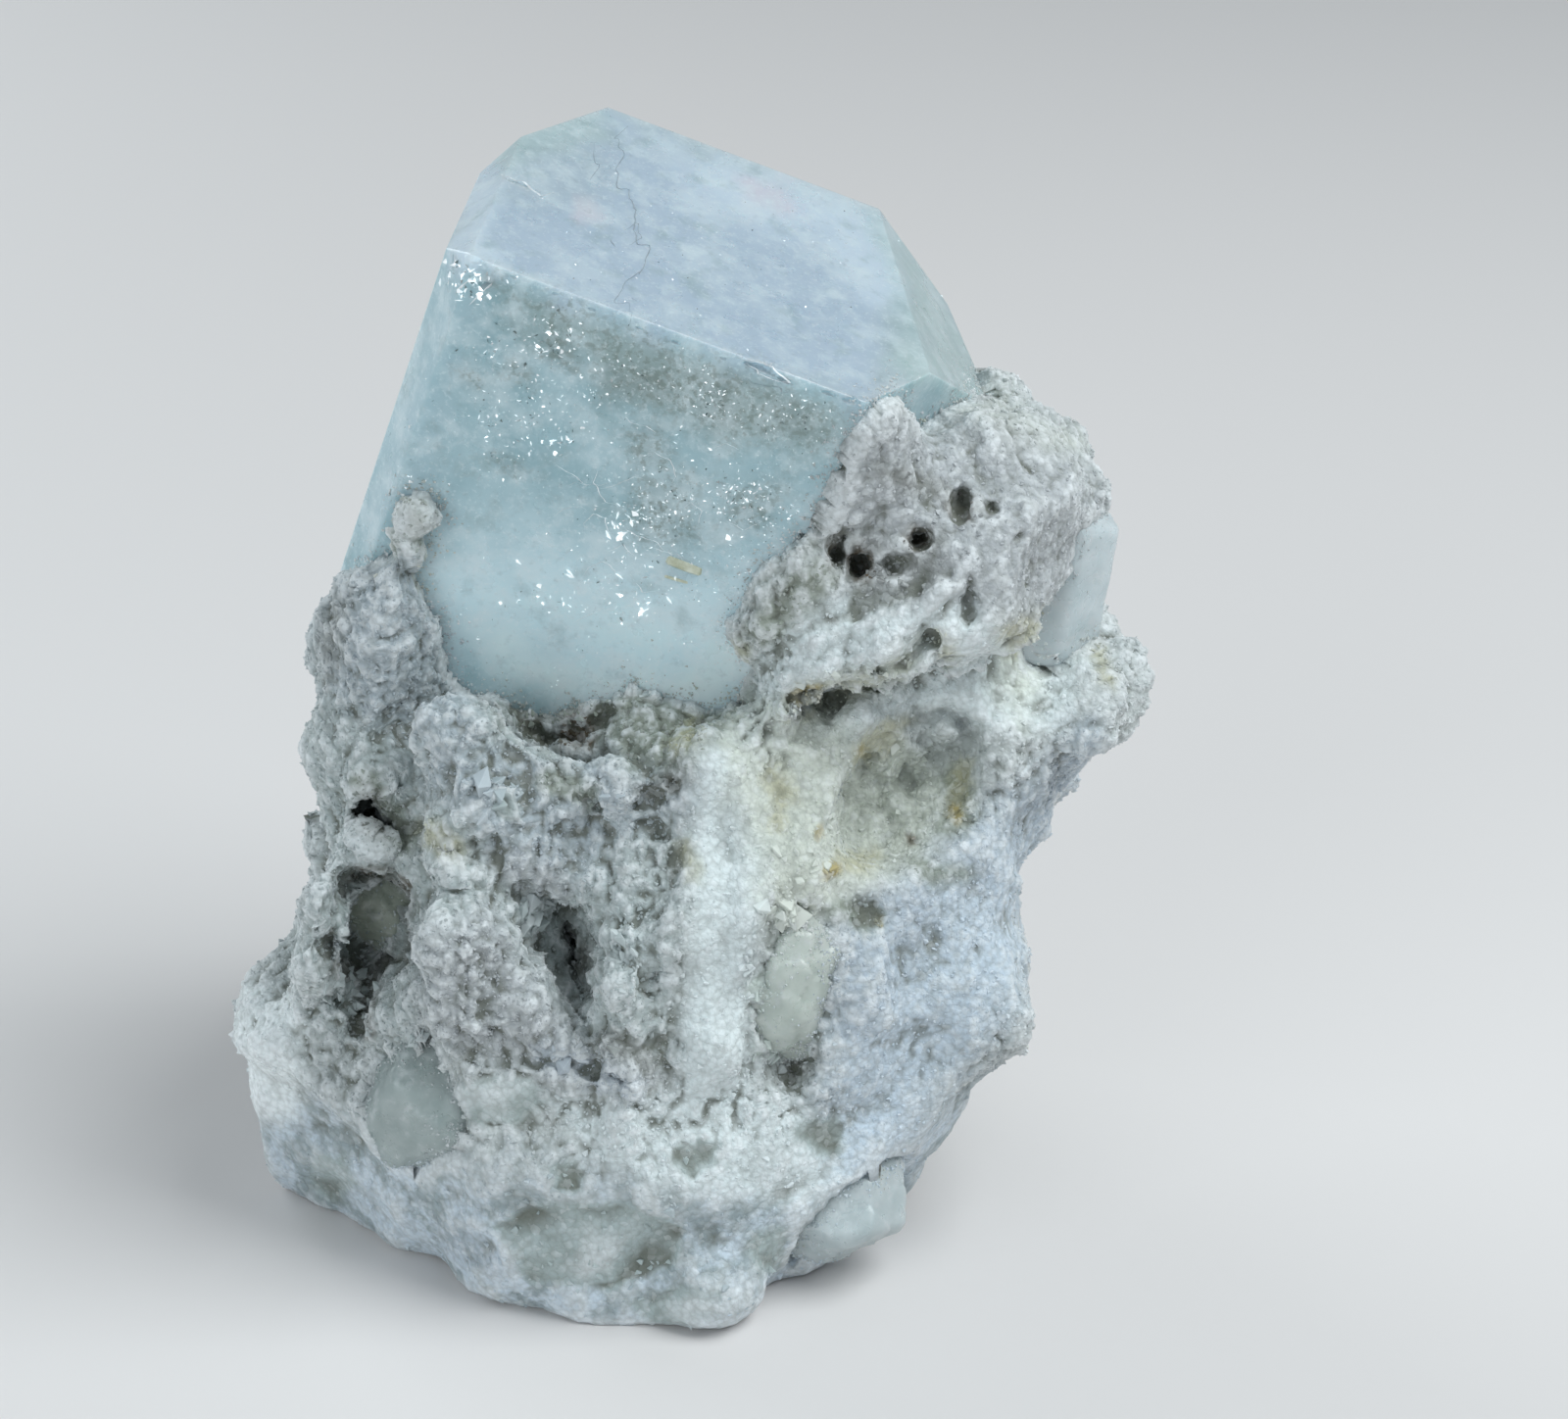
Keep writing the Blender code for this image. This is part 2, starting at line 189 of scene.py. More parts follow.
# Hollows and swells of the rock's face, as seen in the table view: outline, depth of the
# hollow (a swell is negative), width of its slope.
SHAPES = {
    "left_eye": (
        ((366, 812), (382, 807), (390, 823), (405, 847), (396, 859), (380, 852), (366, 843), (361, 826)),
        2.5, 0.2,
    ),
    "throat": (
        (
            (345, 900), (352, 884), (372, 880), (406, 882), (424, 903), (426, 920), (416, 949),
            (403, 976), (389, 991), (384, 1018), (375, 1054), (364, 1056), (360, 1035), (330, 1030),
            (312, 1042), (318, 1015), (330, 992), (327, 964), (334, 926),
        ),
        1.1, 0.35,
    ),
    "throat_roof": (
        ((348, 897), (368, 884), (400, 884), (420, 905), (408, 908), (390, 896), (366, 898), (352, 908)),
        0.9, 0.2,
    ),
    "throat_edge": (
        (
            (420, 905), (426, 922), (404, 978), (388, 994), (384, 1020), (374, 1052), (366, 1040),
            (372, 1000), (392, 966), (408, 934),
        ),
        0.7, 0.2,
    ),
    "cave": (
        (
            (512, 905), (530, 893), (556, 896), (574, 914), (582, 936), (593, 954), (604, 974),
            (602, 1010), (606, 1034), (607, 1054), (588, 1052), (568, 1034), (562, 1004), (552, 980),
            (531, 964), (523, 941), (526, 926),
        ),
        0.9, 0.3,
    ),
    "cave_slit": (
        ((569, 948), (578, 938), (592, 955), (604, 976), (602, 992), (588, 998), (574, 988), (576, 972)),
        1.5, 0.15,
    ),
    "cave_foot_slit": (((566, 1010), (574, 1008), (582, 1030), (576, 1038), (567, 1028)), 0.9, 0.15),
    "crevice": (
        (
            (490, 690), (504, 684), (523, 695), (550, 691), (577, 700), (612, 721), (628, 724),
            (628, 738), (605, 754), (568, 763), (550, 762), (541, 749), (524, 735), (514, 718),
            (497, 704),
        ),
        1.3, 0.3,
    ),
    "crevice_black": (
        ((568, 744), (584, 737), (605, 741), (612, 752), (601, 765), (574, 765)), 1.1, 0.15
    ),
    "crevice_ear": (((483, 694), (494, 683), (511, 687), (511, 704), (497, 713), (486, 705)), 1.0, 0.15),
    "crest": (
        (
            (482, 700), (496, 706), (513, 720), (523, 738), (541, 752), (550, 765), (570, 766),
            (606, 757), (610, 768), (560, 785), (536, 778), (500, 735),
        ),
        -0.45, 0.4,
    ),
    "shelf_left": (((588, 810), (600, 803), (618, 812), (622, 826), (606, 832), (592, 824)), 0.5, 0.2),
    "shelf_right": (((638, 826), (650, 812), (676, 806), (684, 816), (660, 828), (642, 834)), 0.5, 0.2),
    "nick": (((678, 796), (690, 790), (698, 796), (688, 806)), 0.8, 0.15),
    "pin_hole": (((660, 990), (677, 982), (683, 992), (668, 1004), (665, 1012), (659, 1002)), 0.9, 0.15),
    "vein_fill_right": (
        (
            (748, 740), (800, 745), (860, 780), (860, 860), (850, 930), (790, 940), (760, 1000),
            (745, 1000), (745, 860),
        ),
        -0.8, 0.7,
    ),
    "vein_fill_left": (
        ((630, 850), (692, 850), (690, 960), (684, 1060), (640, 1060), (632, 960)), -0.5, 0.5
    ),
    "pillar_step_high": (((608, 946), (652, 940), (656, 962), (614, 968)), -0.35, 0.15),
    "pillar_step_low": (((612, 990), (655, 984), (652, 1018), (620, 1026)), -0.3, 0.15),
    "block_crystal": (
        ((456, 800), (500, 786), (530, 800), (540, 850), (500, 858), (462, 842)), -0.55, 0.25
    ),
    "block_window": (((502, 806), (524, 806), (532, 836), (512, 836)), 0.35, 0.15),
    "bridge": (
        ((400, 868), (440, 862), (470, 880), (520, 888), (512, 903), (450, 900), (424, 895)), -0.4, 0.4
    ),
    "lobe": (
        ((440, 930), (500, 930), (540, 990), (560, 1050), (500, 1068), (430, 1050), (400, 1010)),
        -0.6, 0.8,
    ),
    "left_rib": (
        (
            (342, 850), (356, 872), (340, 910), (326, 960), (316, 1010), (300, 1000), (310, 930),
            (328, 870),
        ),
        -0.4, 0.5,
    ),
    "under_lobe": (
        (
            (440, 1058), (480, 1064), (540, 1062), (600, 1078), (650, 1098), (640, 1112), (560, 1092),
            (470, 1080),
        ),
        0.4, 0.3,
    ),
    "brow": (
        (
            (800, 706), (832, 693), (856, 697), (870, 684), (892, 677), (912, 667), (930, 648),
            (944, 638), (984, 596), (960, 590), (900, 620), (850, 640), (800, 660), (784, 690),
        ),
        -0.6, 0.35,
    ),
    "under_brow": (
        (
            (800, 712), (833, 697), (856, 700), (872, 688), (894, 681), (914, 670), (934, 650),
            (950, 640), (960, 650), (930, 690), (880, 712), (850, 724), (806, 726),
        ),
        1.0, 0.2,
    ),
    "under_brow_fill": (
        ((790, 728), (850, 726), (884, 716), (905, 730), (872, 776), (820, 778), (794, 764)), -0.55, 0.4
    ),
    "tall_pocket": (((976, 608), (988, 588), (998, 600), (1000, 630), (984, 646), (974, 628)), 0.6, 0.2),
    "hollow": (
        (
            (868, 770), (886, 752), (904, 742), (918, 728), (952, 721), (982, 722), (993, 742),
            (998, 762), (992, 800), (960, 838), (924, 858), (890, 850), (862, 836), (850, 806),
        ),
        0.26, 0.7,
    ),
    "hollow_arch": (
        ((872, 782), (884, 758), (902, 744), (914, 750), (902, 768), (888, 782), (878, 800)), 0.45, 0.2
    ),
    "hollow_peak": (
        ((916, 742), (922, 727), (952, 720), (984, 722), (994, 742), (976, 744), (950, 736), (930, 746)),
        0.45, 0.2,
    ),
    "hollow_east": (
        ((976, 800), (988, 776), (1000, 790), (994, 812), (972, 830), (960, 838), (958, 822)), 0.5, 0.25
    ),
    "hollow_heart": (((912, 796), (926, 784), (944, 790), (940, 804), (922, 812)), 0.35, 0.2),
    "hollow_window": (
        ((952, 766), (972, 760), (992, 768), (997, 788), (980, 796), (960, 792), (950, 782)), 0.2, 0.15
    ),
    "cheek_black_a": (
        ((847, 566), (850, 546), (858, 537), (867, 544), (863, 560), (857, 573)), 1.4, 0.12
    ),
    "cheek_black_b": (
        ((863, 566), (876, 556), (893, 570), (888, 591), (872, 593), (868, 580)), 1.5, 0.12
    ),
    "cheek_black_c": (((923, 552), (932, 539), (949, 541), (949, 557), (934, 563)), 1.4, 0.12),
    "cheek_hollow": (((904, 566), (930, 560), (934, 574), (922, 590), (906, 592), (898, 580)), 0.6, 0.25),
    "cheek_slot_a": (((974, 505), (984, 496), (992, 510), (988, 530), (978, 534), (970, 520)), 0.8, 0.2),
    "cheek_slot_b": (((1006, 515), (1016, 514), (1017, 526), (1008, 530)), 0.9, 0.12),
    "cheek_slot_c": (((1032, 552), (1042, 544), (1048, 548), (1038, 558)), 0.7, 0.12),
    "cheek_rib": (((868, 520), (884, 512), (880, 548), (868, 578), (860, 574), (866, 546)), -0.35, 0.2),
    "vein_window": (
        (
            (758, 1016), (764, 996), (798, 984), (826, 956), (846, 950), (846, 968), (823, 994),
            (812, 1014), (774, 1026),
        ),
        -0.25, 0.3,
    ),
    "vein_window_low": (
        ((766, 1030), (805, 1016), (830, 1029), (816, 1052), (802, 1080), (770, 1076)), -0.35, 0.3
    ),
    "flank_pit": (
        ((797, 1090), (812, 1076), (832, 1064), (836, 1080), (824, 1098), (804, 1107)), 0.5, 0.2
    ),
    "flank_hollow": (((862, 922), (888, 915), (904, 930), (894, 950), (870, 948)), 0.4, 0.25),
    "small_window": (
        (
            (682, 1180), (690, 1166), (702, 1171), (712, 1160), (738, 1166), (730, 1180), (742, 1191),
            (718, 1192), (708, 1203), (694, 1196),
        ),
        0.22, 0.2,
    ),
    "flank_window": (
        ((804, 1150), (830, 1142), (856, 1142), (860, 1176), (836, 1180), (812, 1166)), 0.2, 0.2
    ),
    "foot_window": (((562, 1190), (584, 1184), (600, 1196), (590, 1216), (566, 1214)), 0.3, 0.12),
    "middle_window": (
        ((460, 1112), (500, 1100), (545, 1102), (556, 1124), (530, 1148), (480, 1146)), 0.15, 0.15
    ),
    "wide_foot_window": (
        ((498, 1250), (560, 1226), (640, 1228), (700, 1250), (690, 1290), (620, 1318), (540, 1310)),
        0.2, 0.2,
    ),
    "corner_window": (((318, 1180), (352, 1176), (366, 1206), (340, 1226), (316, 1210)), 0.15, 0.15),
    "low_window": (((640, 1330), (690, 1310), (740, 1316), (730, 1346), (670, 1356)), 0.15, 0.15),
    "left_window": (
        (
            (374, 1120), (392, 1088), (398, 1064), (420, 1066), (446, 1084), (458, 1110), (452, 1150),
            (430, 1168), (400, 1164), (368, 1160),
        ),
        -0.2, 0.3,
    ),
    "foot_collar": (
        ((796, 1230), (830, 1200), (900, 1196), (930, 1230), (920, 1300), (860, 1330), (810, 1310)),
        -0.4, 0.6,
    ),
    "foot_rot": (((450, 1262), (476, 1250), (506, 1266), (508, 1292), (474, 1294)), 0.45, 0.3),
    "side_notch": (((1110, 650), (1118, 656), (1136, 694), (1128, 698), (1112, 672)), 0.25, 0.2),
}
# Rounded buds that line the hollows: place, radius, height.
BUDS = {
    "eye_bud_a": ((372, 862), 0.34, 0.5),
    "eye_bud_b": ((386, 868), 0.36, 0.5),
    "eye_bud_c": ((398, 860), 0.30, 0.4),
    "eye_bud_d": ((376, 850), 0.24, 0.4),
    "throat_bud_a": ((345, 985), 0.42, 0.45),
    "throat_bud_b": ((362, 998), 0.44, 0.5),
    "throat_bud_c": ((378, 980), 0.36, 0.4),
    "throat_bud_d": ((350, 1010), 0.40, 0.4),
    "throat_bud_e": ((368, 1022), 0.34, 0.4),
    "throat_bud_f": ((335, 1002), 0.32, 0.3),
    "hollow_bud_a": ((965, 747), 0.55, 0.8),
    "hollow_bud_b": ((934, 771), 0.52, 0.8),
    "hollow_bud_c": ((905, 782), 0.50, 0.6),
    "hollow_bud_d": ((880, 806), 0.58, 0.7),
    "hollow_bud_e": ((915, 818), 0.50, 0.6),
    "hollow_bud_f": ((894, 764), 0.34, 0.5),
    "hollow_bud_g": ((858, 826), 0.50, 0.6),
    "hollow_bud_h": ((892, 842), 0.46, 0.5),
    "hollow_bud_i": ((940, 806), 0.40, 0.5),
    "crevice_bud_a": ((560, 708), 0.36, 0.5),
    "crevice_bud_b": ((590, 716), 0.30, 0.4),
    "crevice_bud_c": ((540, 722), 0.34, 0.4),
    "crevice_bud_d": ((612, 734), 0.30, 0.4),
    "crevice_bud_e": ((566, 738), 0.36, 0.5),
    "crevice_bud_f": ((600, 696), 0.30, 0.4),
    "cheek_bud_a": ((920, 556), 0.26, 0.4),
    "cheek_bud_b": ((912, 598), 0.26, 0.3),
    "rim_bud_a": ((352, 600), 0.42, 0.4),
    "rim_bud_b": ((345, 640), 0.46, 0.4),
    "rim_bud_c": ((330, 610), 0.40, 0.4),
    "rim_bud_d": ((372, 585), 0.40, 0.4),
}

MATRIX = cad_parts["matrix"]
SIGHT_SCALE = VIEW_WIDTH / VIEW_SENSOR * VIEW_LENS


def skin_of(mesh):
    """A mesh's faces, ready for lines of sight to meet them."""
    corners = [vert.co.copy() for vert in mesh.vertices]
    return BVHTree.FromPolygons(corners, [tuple(face.vertices) for face in mesh.polygons])


matrix_solid = skin_of(MATRIX.data)


def sight_line(place):
    """The way that the line of sight through a place in the table view runs."""
    across = place[0] - VIEW_WIDTH / 2
    down = place[1] - VIEW_HEIGHT / 2
    return (VIEW_AHEAD * SIGHT_SCALE + Vector((across, 0.0, 0.0)) - VIEW_ABOVE * down).normalized()


def in_table_view(places):
    """Each place's position in the table view."""
    away = places * MM - np.array(VIEW_EYE)
    depth = away @ np.array(VIEW_AHEAD)
    across = VIEW_WIDTH / 2 + SIGHT_SCALE * away[:, 0] / depth
    down = VIEW_HEIGHT / 2 - SIGHT_SCALE * (away @ np.array(VIEW_ABOVE)) / depth
    return np.column_stack((across, down))


def shows_in_view(places, facings, solid):
    """1 where a solid's face shows in the table view, falling to 0 behind it."""
    shown = np.zeros(len(places))
    toward = -(facings @ np.array(VIEW_AHEAD))
    for index in np.flatnonzero(toward > 0.05):
        way = Vector(places[index] * MM) - VIEW_EYE
        spot, _, _, gap = solid.ray_cast(VIEW_EYE, way.normalized())
        shown[index] = 1.0 if spot is None or way.length - gap < SIGHT_SLACK * MM else 0.0
    return shown * np.clip(toward * 9.0, 0.0, 1.0)


def outline_distance(spots, outline):
    """Distance in millimetres of each view position outside an outline, negative inside it."""
    best = np.full(len(spots), 1e9)
    inside = np.zeros(len(spots), dtype=bool)
    corners = np.array(outline, dtype=float)
    for start, end in zip(corners, np.roll(corners, -1, axis=0)):
        along = end - start
        share = np.clip((spots - start) @ along / (along @ along), 0.0, 1.0)
        best = np.minimum(best, np.linalg.norm(spots - start - share[:, None] * along, axis=1))
        crosses = (start[1] > spots[:, 1]) != (end[1] > spots[:, 1])
        reach = start[0] + (spots[:, 1] - start[1]) * along[0] / (along[1] or 1e-9)
        inside ^= crosses & (spots[:, 0] < reach)
    return np.where(inside, -best, best) / PIXELS_PER_MM


def flat_sides(node):
    """A flat-faced CAD solid as planes: normals, and each plane's distance along its normal."""
    sides = {}
    for face in node.data.polygons:
        key = tuple(round(part, 2) for part in face.normal)
        sides[key] = (np.array(face.normal), face.normal.dot(face.center) / MM)
    normals, distances = zip(*sides.values())
    return np.array(normals), np.array(distances)


HELD = [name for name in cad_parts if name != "matrix"]
held_sides = {name: flat_sides(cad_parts[name]) for name in HELD}


def reach_to(name, places):
    """How far each place is outside a flat-faced piece, and the side it is nearest to."""
    normals, distances = held_sides[name]
    heights = places @ normals.T - distances
    nearest = heights.argmax(axis=1)
    return heights[np.arange(len(places)), nearest], normals[nearest]


def mesh_places(mesh):
    """A mesh's points, in millimetres."""
    places = np.empty(len(mesh.vertices) * 3)
    mesh.vertices.foreach_get("co", places)
    return places.reshape(-1, 3) / MM


def mesh_facings(mesh):
    """The way that a mesh faces at each of its points."""
    facings = np.empty(len(mesh.vertices) * 3)
    mesh.vertices.foreach_get("normal", facings)
    return facings.reshape(-1, 3)


def put_places(mesh, places):
    """Move a mesh's points, given in millimetres."""
    mesh.vertices.foreach_set("co", (places * MM).ravel())
    mesh.update()


def smooth_noise(places, size, shift=0.0):
    """Soft noise from -1 to 1 at every place, one wave to each size."""
    return np.array([noise.noise(Vector(place)) for place in places / size + shift])


def ragged_edge(places, waves):
    """Uneven offsets for the edges of hollows and zones: each wave's height, size and shift."""
    return sum(height * smooth_noise(places, size, shift) for height, size, shift in waves)


def knob_noise(places, size):
    """Rounded knobs packed side by side, 1 on top and falling to 0 in the seams."""
    near = [noise.voronoi(Vector(place))[0] for place in places / size]
    first, second = np.array(near)[:, :2].T
    return np.minimum(1.0, 2.4 * (second - first)) * (1.0 - 0.6 * first)


def block_noise(places, size, shift=0.0):
    """Small blocks with flat tilted tops, as broken feldspar shows, from about -1 to 1."""
    heights = []
    for place in places / size + shift:
        centre = noise.voronoi(Vector(place))[1][0]
        tilt = noise.cell_vector(centre * 17.3)
        heights.append((Vector(place) - centre).dot(tilt) * 1.6 + tilt.x + tilt.y)
    heights = np.array(heights)
    return (heights - heights.mean()) / (2.0 * heights.std())


def fade(distance, inner, outer):
    """1 up to the inner distance, falling smoothly to 0 at the outer."""
    share = np.clip((outer - distance) / (outer - inner), 0.0, 1.0)
    return share * share * (3.0 - 2.0 * share)


def distance_to_line(places, spots):
    """Distance from every place to a line through the spots."""
    best = np.full(len(places), 1e9)
    for start, end in zip(spots, spots[1:]):
        along = end - start
        share = np.clip((places - start) @ along / max(along @ along, 1e-9), 0.0, 1.0)
        best = np.minimum(best, np.linalg.norm(places - start - share[:, None] * along, axis=1))
    return best


def evaluated(piece):
    """Replace the object's mesh with its evaluated one."""
    graph = bpy.context.evaluated_depsgraph_get()
    mesh = bpy.data.meshes.new_from_object(piece.evaluated_get(graph))
    piece.modifiers.clear()
    piece.data = mesh


def even_skin(piece, voxel):
    """Give a piece one closed skin of small, even faces."""
    skin = piece.modifiers.new("even_skin", "REMESH")
    skin.mode = "VOXEL"
    skin.voxel_size = voxel * MM
    evaluated(piece)


rock = new_piece("matrix_rock", MATRIX.data.copy())
rock.data.materials.clear()
even_skin(rock, FORM_VOXEL)

# First the hollows and swells of its face, then one even skin again.
CARVED_EDGE = ((0.16, 0.8, 3.1), (0.10, 0.35, 8.4))
places = mesh_places(rock.data)
facings = mesh_facings(rock.data)
shown = shows_in_view(places, facings, matrix_solid)
spots = in_table_view(places)
ragged = ragged_edge(places, CARVED_EDGE)
inward = np.zeros(len(places))
for outline, depth, slope in SHAPES.values():
    gap = outline_distance(spots, outline) + ragged * min(1.0, 2.0 * slope + 0.2)
    inward += depth * fade(gap, -slope, 0.5 * slope)
for place, radius, height in BUDS.values():
    gap = np.linalg.norm(spots - np.array(place), axis=1) / PIXELS_PER_MM
    inward -= height * np.sqrt(np.clip(1.0 - (gap / radius) ** 2, 0.0, 1.0))
sight = places - np.array(VIEW_EYE) / MM
sight /= np.linalg.norm(sight, axis=1)[:, None]
carved = places + sight * (inward * shown)[:, None]
for name in HELD:
    outside, _ = reach_to(name, places)
    covers = outside > SOCKET_REACH
    outside, way = reach_to(name, carved)
    too_deep = covers & (outside < LEAST_COVER)
    carved[too_deep] += (way * (LEAST_COVER - outside)[:, None])[too_deep]
put_places(rock.data, carved)
even_skin(rock, ROCK_VOXEL)

# Then the knobs, blocks and sugar grain of the broken surface. The foot and the glassy
# windows are smoother than the rest.
SMOOTH_FOOT = 7.5
SURFACE_BILLOWS = ((2.8, 1.00), (1.25, 0.36), (0.62, 0.27), (0.32, 0.22))  # size, height
SURFACE_STRETCH = (1.0, 1.0, 0.62)  # its ribs run up and down
SURFACE_KNOBS = ((1.3, 0.12), (0.65, 0.10))
LEDGES = (3.4, 0.30)  # size, height, on the sides that the table view does not show
SURFACE_BLOCKS = ((0.55, 0.06),)
WINDOWS = (
    "vein_window", "vein_window_low", "small_window", "flank_window", "foot_window", "left_window",
    "block_window", "middle_window", "wide_foot_window", "corner_window", "low_window",
)
# Parts of its face that broke more evenly: outline, share of the roughness that is missing.
CALM_PARTS = {
    "vein": (
        (
            (704, 760), (740, 740), (790, 800), (780, 960), (765, 1010), (772, 1080), (700, 1140),
            (690, 1060),
        ),
        0.70,
    ),
    "right_hollow": (
        ((790, 740), (870, 720), (1000, 690), (1010, 800), (940, 880), (850, 930), (780, 900)), 0.45
    ),
    "right_face": (((960, 620), (1100, 640), (1150, 700), (1080, 760), (1000, 760), (960, 700)), 0.60),
    "cheek": (
        ((860, 430), (960, 400), (1100, 450), (1130, 600), (1000, 640), (880, 640), (800, 660)), 0.50
    ),
    "brow": (((780, 640), (860, 600), (960, 596), (1000, 640), (940, 690), (860, 720), (800, 712)), 0.40),
    "right_flank": (((860, 920), (1060, 800), (1080, 900), (1040, 1020), (920, 1180), (840, 1100)), 0.60),
    "left_side": (((236, 1060), (290, 1010), (310, 1060), (300, 1150), (250, 1200)), 0.60),
}
CALM_FADE = (-0.8, 0.6)  # inner and outer end of their soft edge


def in_windows(spots, inner, outer):
    """1 in the glassy windows, as seen in the table view."""
    mask = np.zeros(len(spots))
    for name in WINDOWS:
        mask = np.maximum(mask, fade(outline_distance(spots, SHAPES[name][0]), inner, outer))
    return mask


def calm_parts(values, spots, shown):
    """Lower the values where the rock's face broke more evenly."""
    for outline, share in CALM_PARTS.values():
        values *= 1.0 - share * fade(outline_distance(spots, outline), *CALM_FADE) * shown


places = mesh_places(rock.data)
facings = mesh_facings(rock.data)
shown = shows_in_view(places, facings, matrix_solid)
spots = in_table_view(places)
window = in_windows(spots, -0.2, 0.1)
calm = 1.0 - 0.80 * fade(places[:, 2], SMOOTH_FOOT - 2.0, SMOOTH_FOOT + 1.0)
calm *= 1.0 - 0.9 * window * shown
calm_parts(calm, spots, shown)
broken_clean = fade(-smooth_noise(places, 4.0, 33.0), -0.30, 0.0) * (1.0 - shown)
calm *= 1.0 - 0.65 * broken_clean
bent = places + 0.5 * smooth_noise(places, 1.5, 12.0)[:, None]
push = LEDGES[1] * block_noise(bent, LEDGES[0]) * (1.0 - shown)
for spacing, height in SURFACE_KNOBS:
    push += height * (knob_noise(places, spacing) - 0.5)
for size, height in SURFACE_BLOCKS:
    push += height * block_noise(places, size)
for size, height in SURFACE_BILLOWS:
    push += height * (np.abs(smooth_noise(places * SURFACE_STRETCH, size, 7.3)) - 0.22)
moved = places + facings * (push * calm)[:, None]
moved[:, 2] = np.maximum(moved[:, 2], 0.0)

# The walls of the sockets close on what they hold.
bite = SOCKET_BITE * (1.5 + smooth_noise(places, 0.8, 11.0))
for name in HELD:
    outside, _ = reach_to(name, places)
    wall = outside < SOCKET_REACH
    outside, way = reach_to(name, moved)
    depth = bite if name == "aquamarine_crystal" else bite * POCKET_BITE
    moved[wall] -= (way * (outside + depth)[:, None])[wall]
put_places(rock.data, moved)
fewer = rock.modifiers.new("fewer_faces", "DECIMATE")
fewer.ratio = min(1.0, ROCK_TRIANGLES / (2 * len(rock.data.polygons)))
evaluated(rock)
rock.data.shade_smooth()

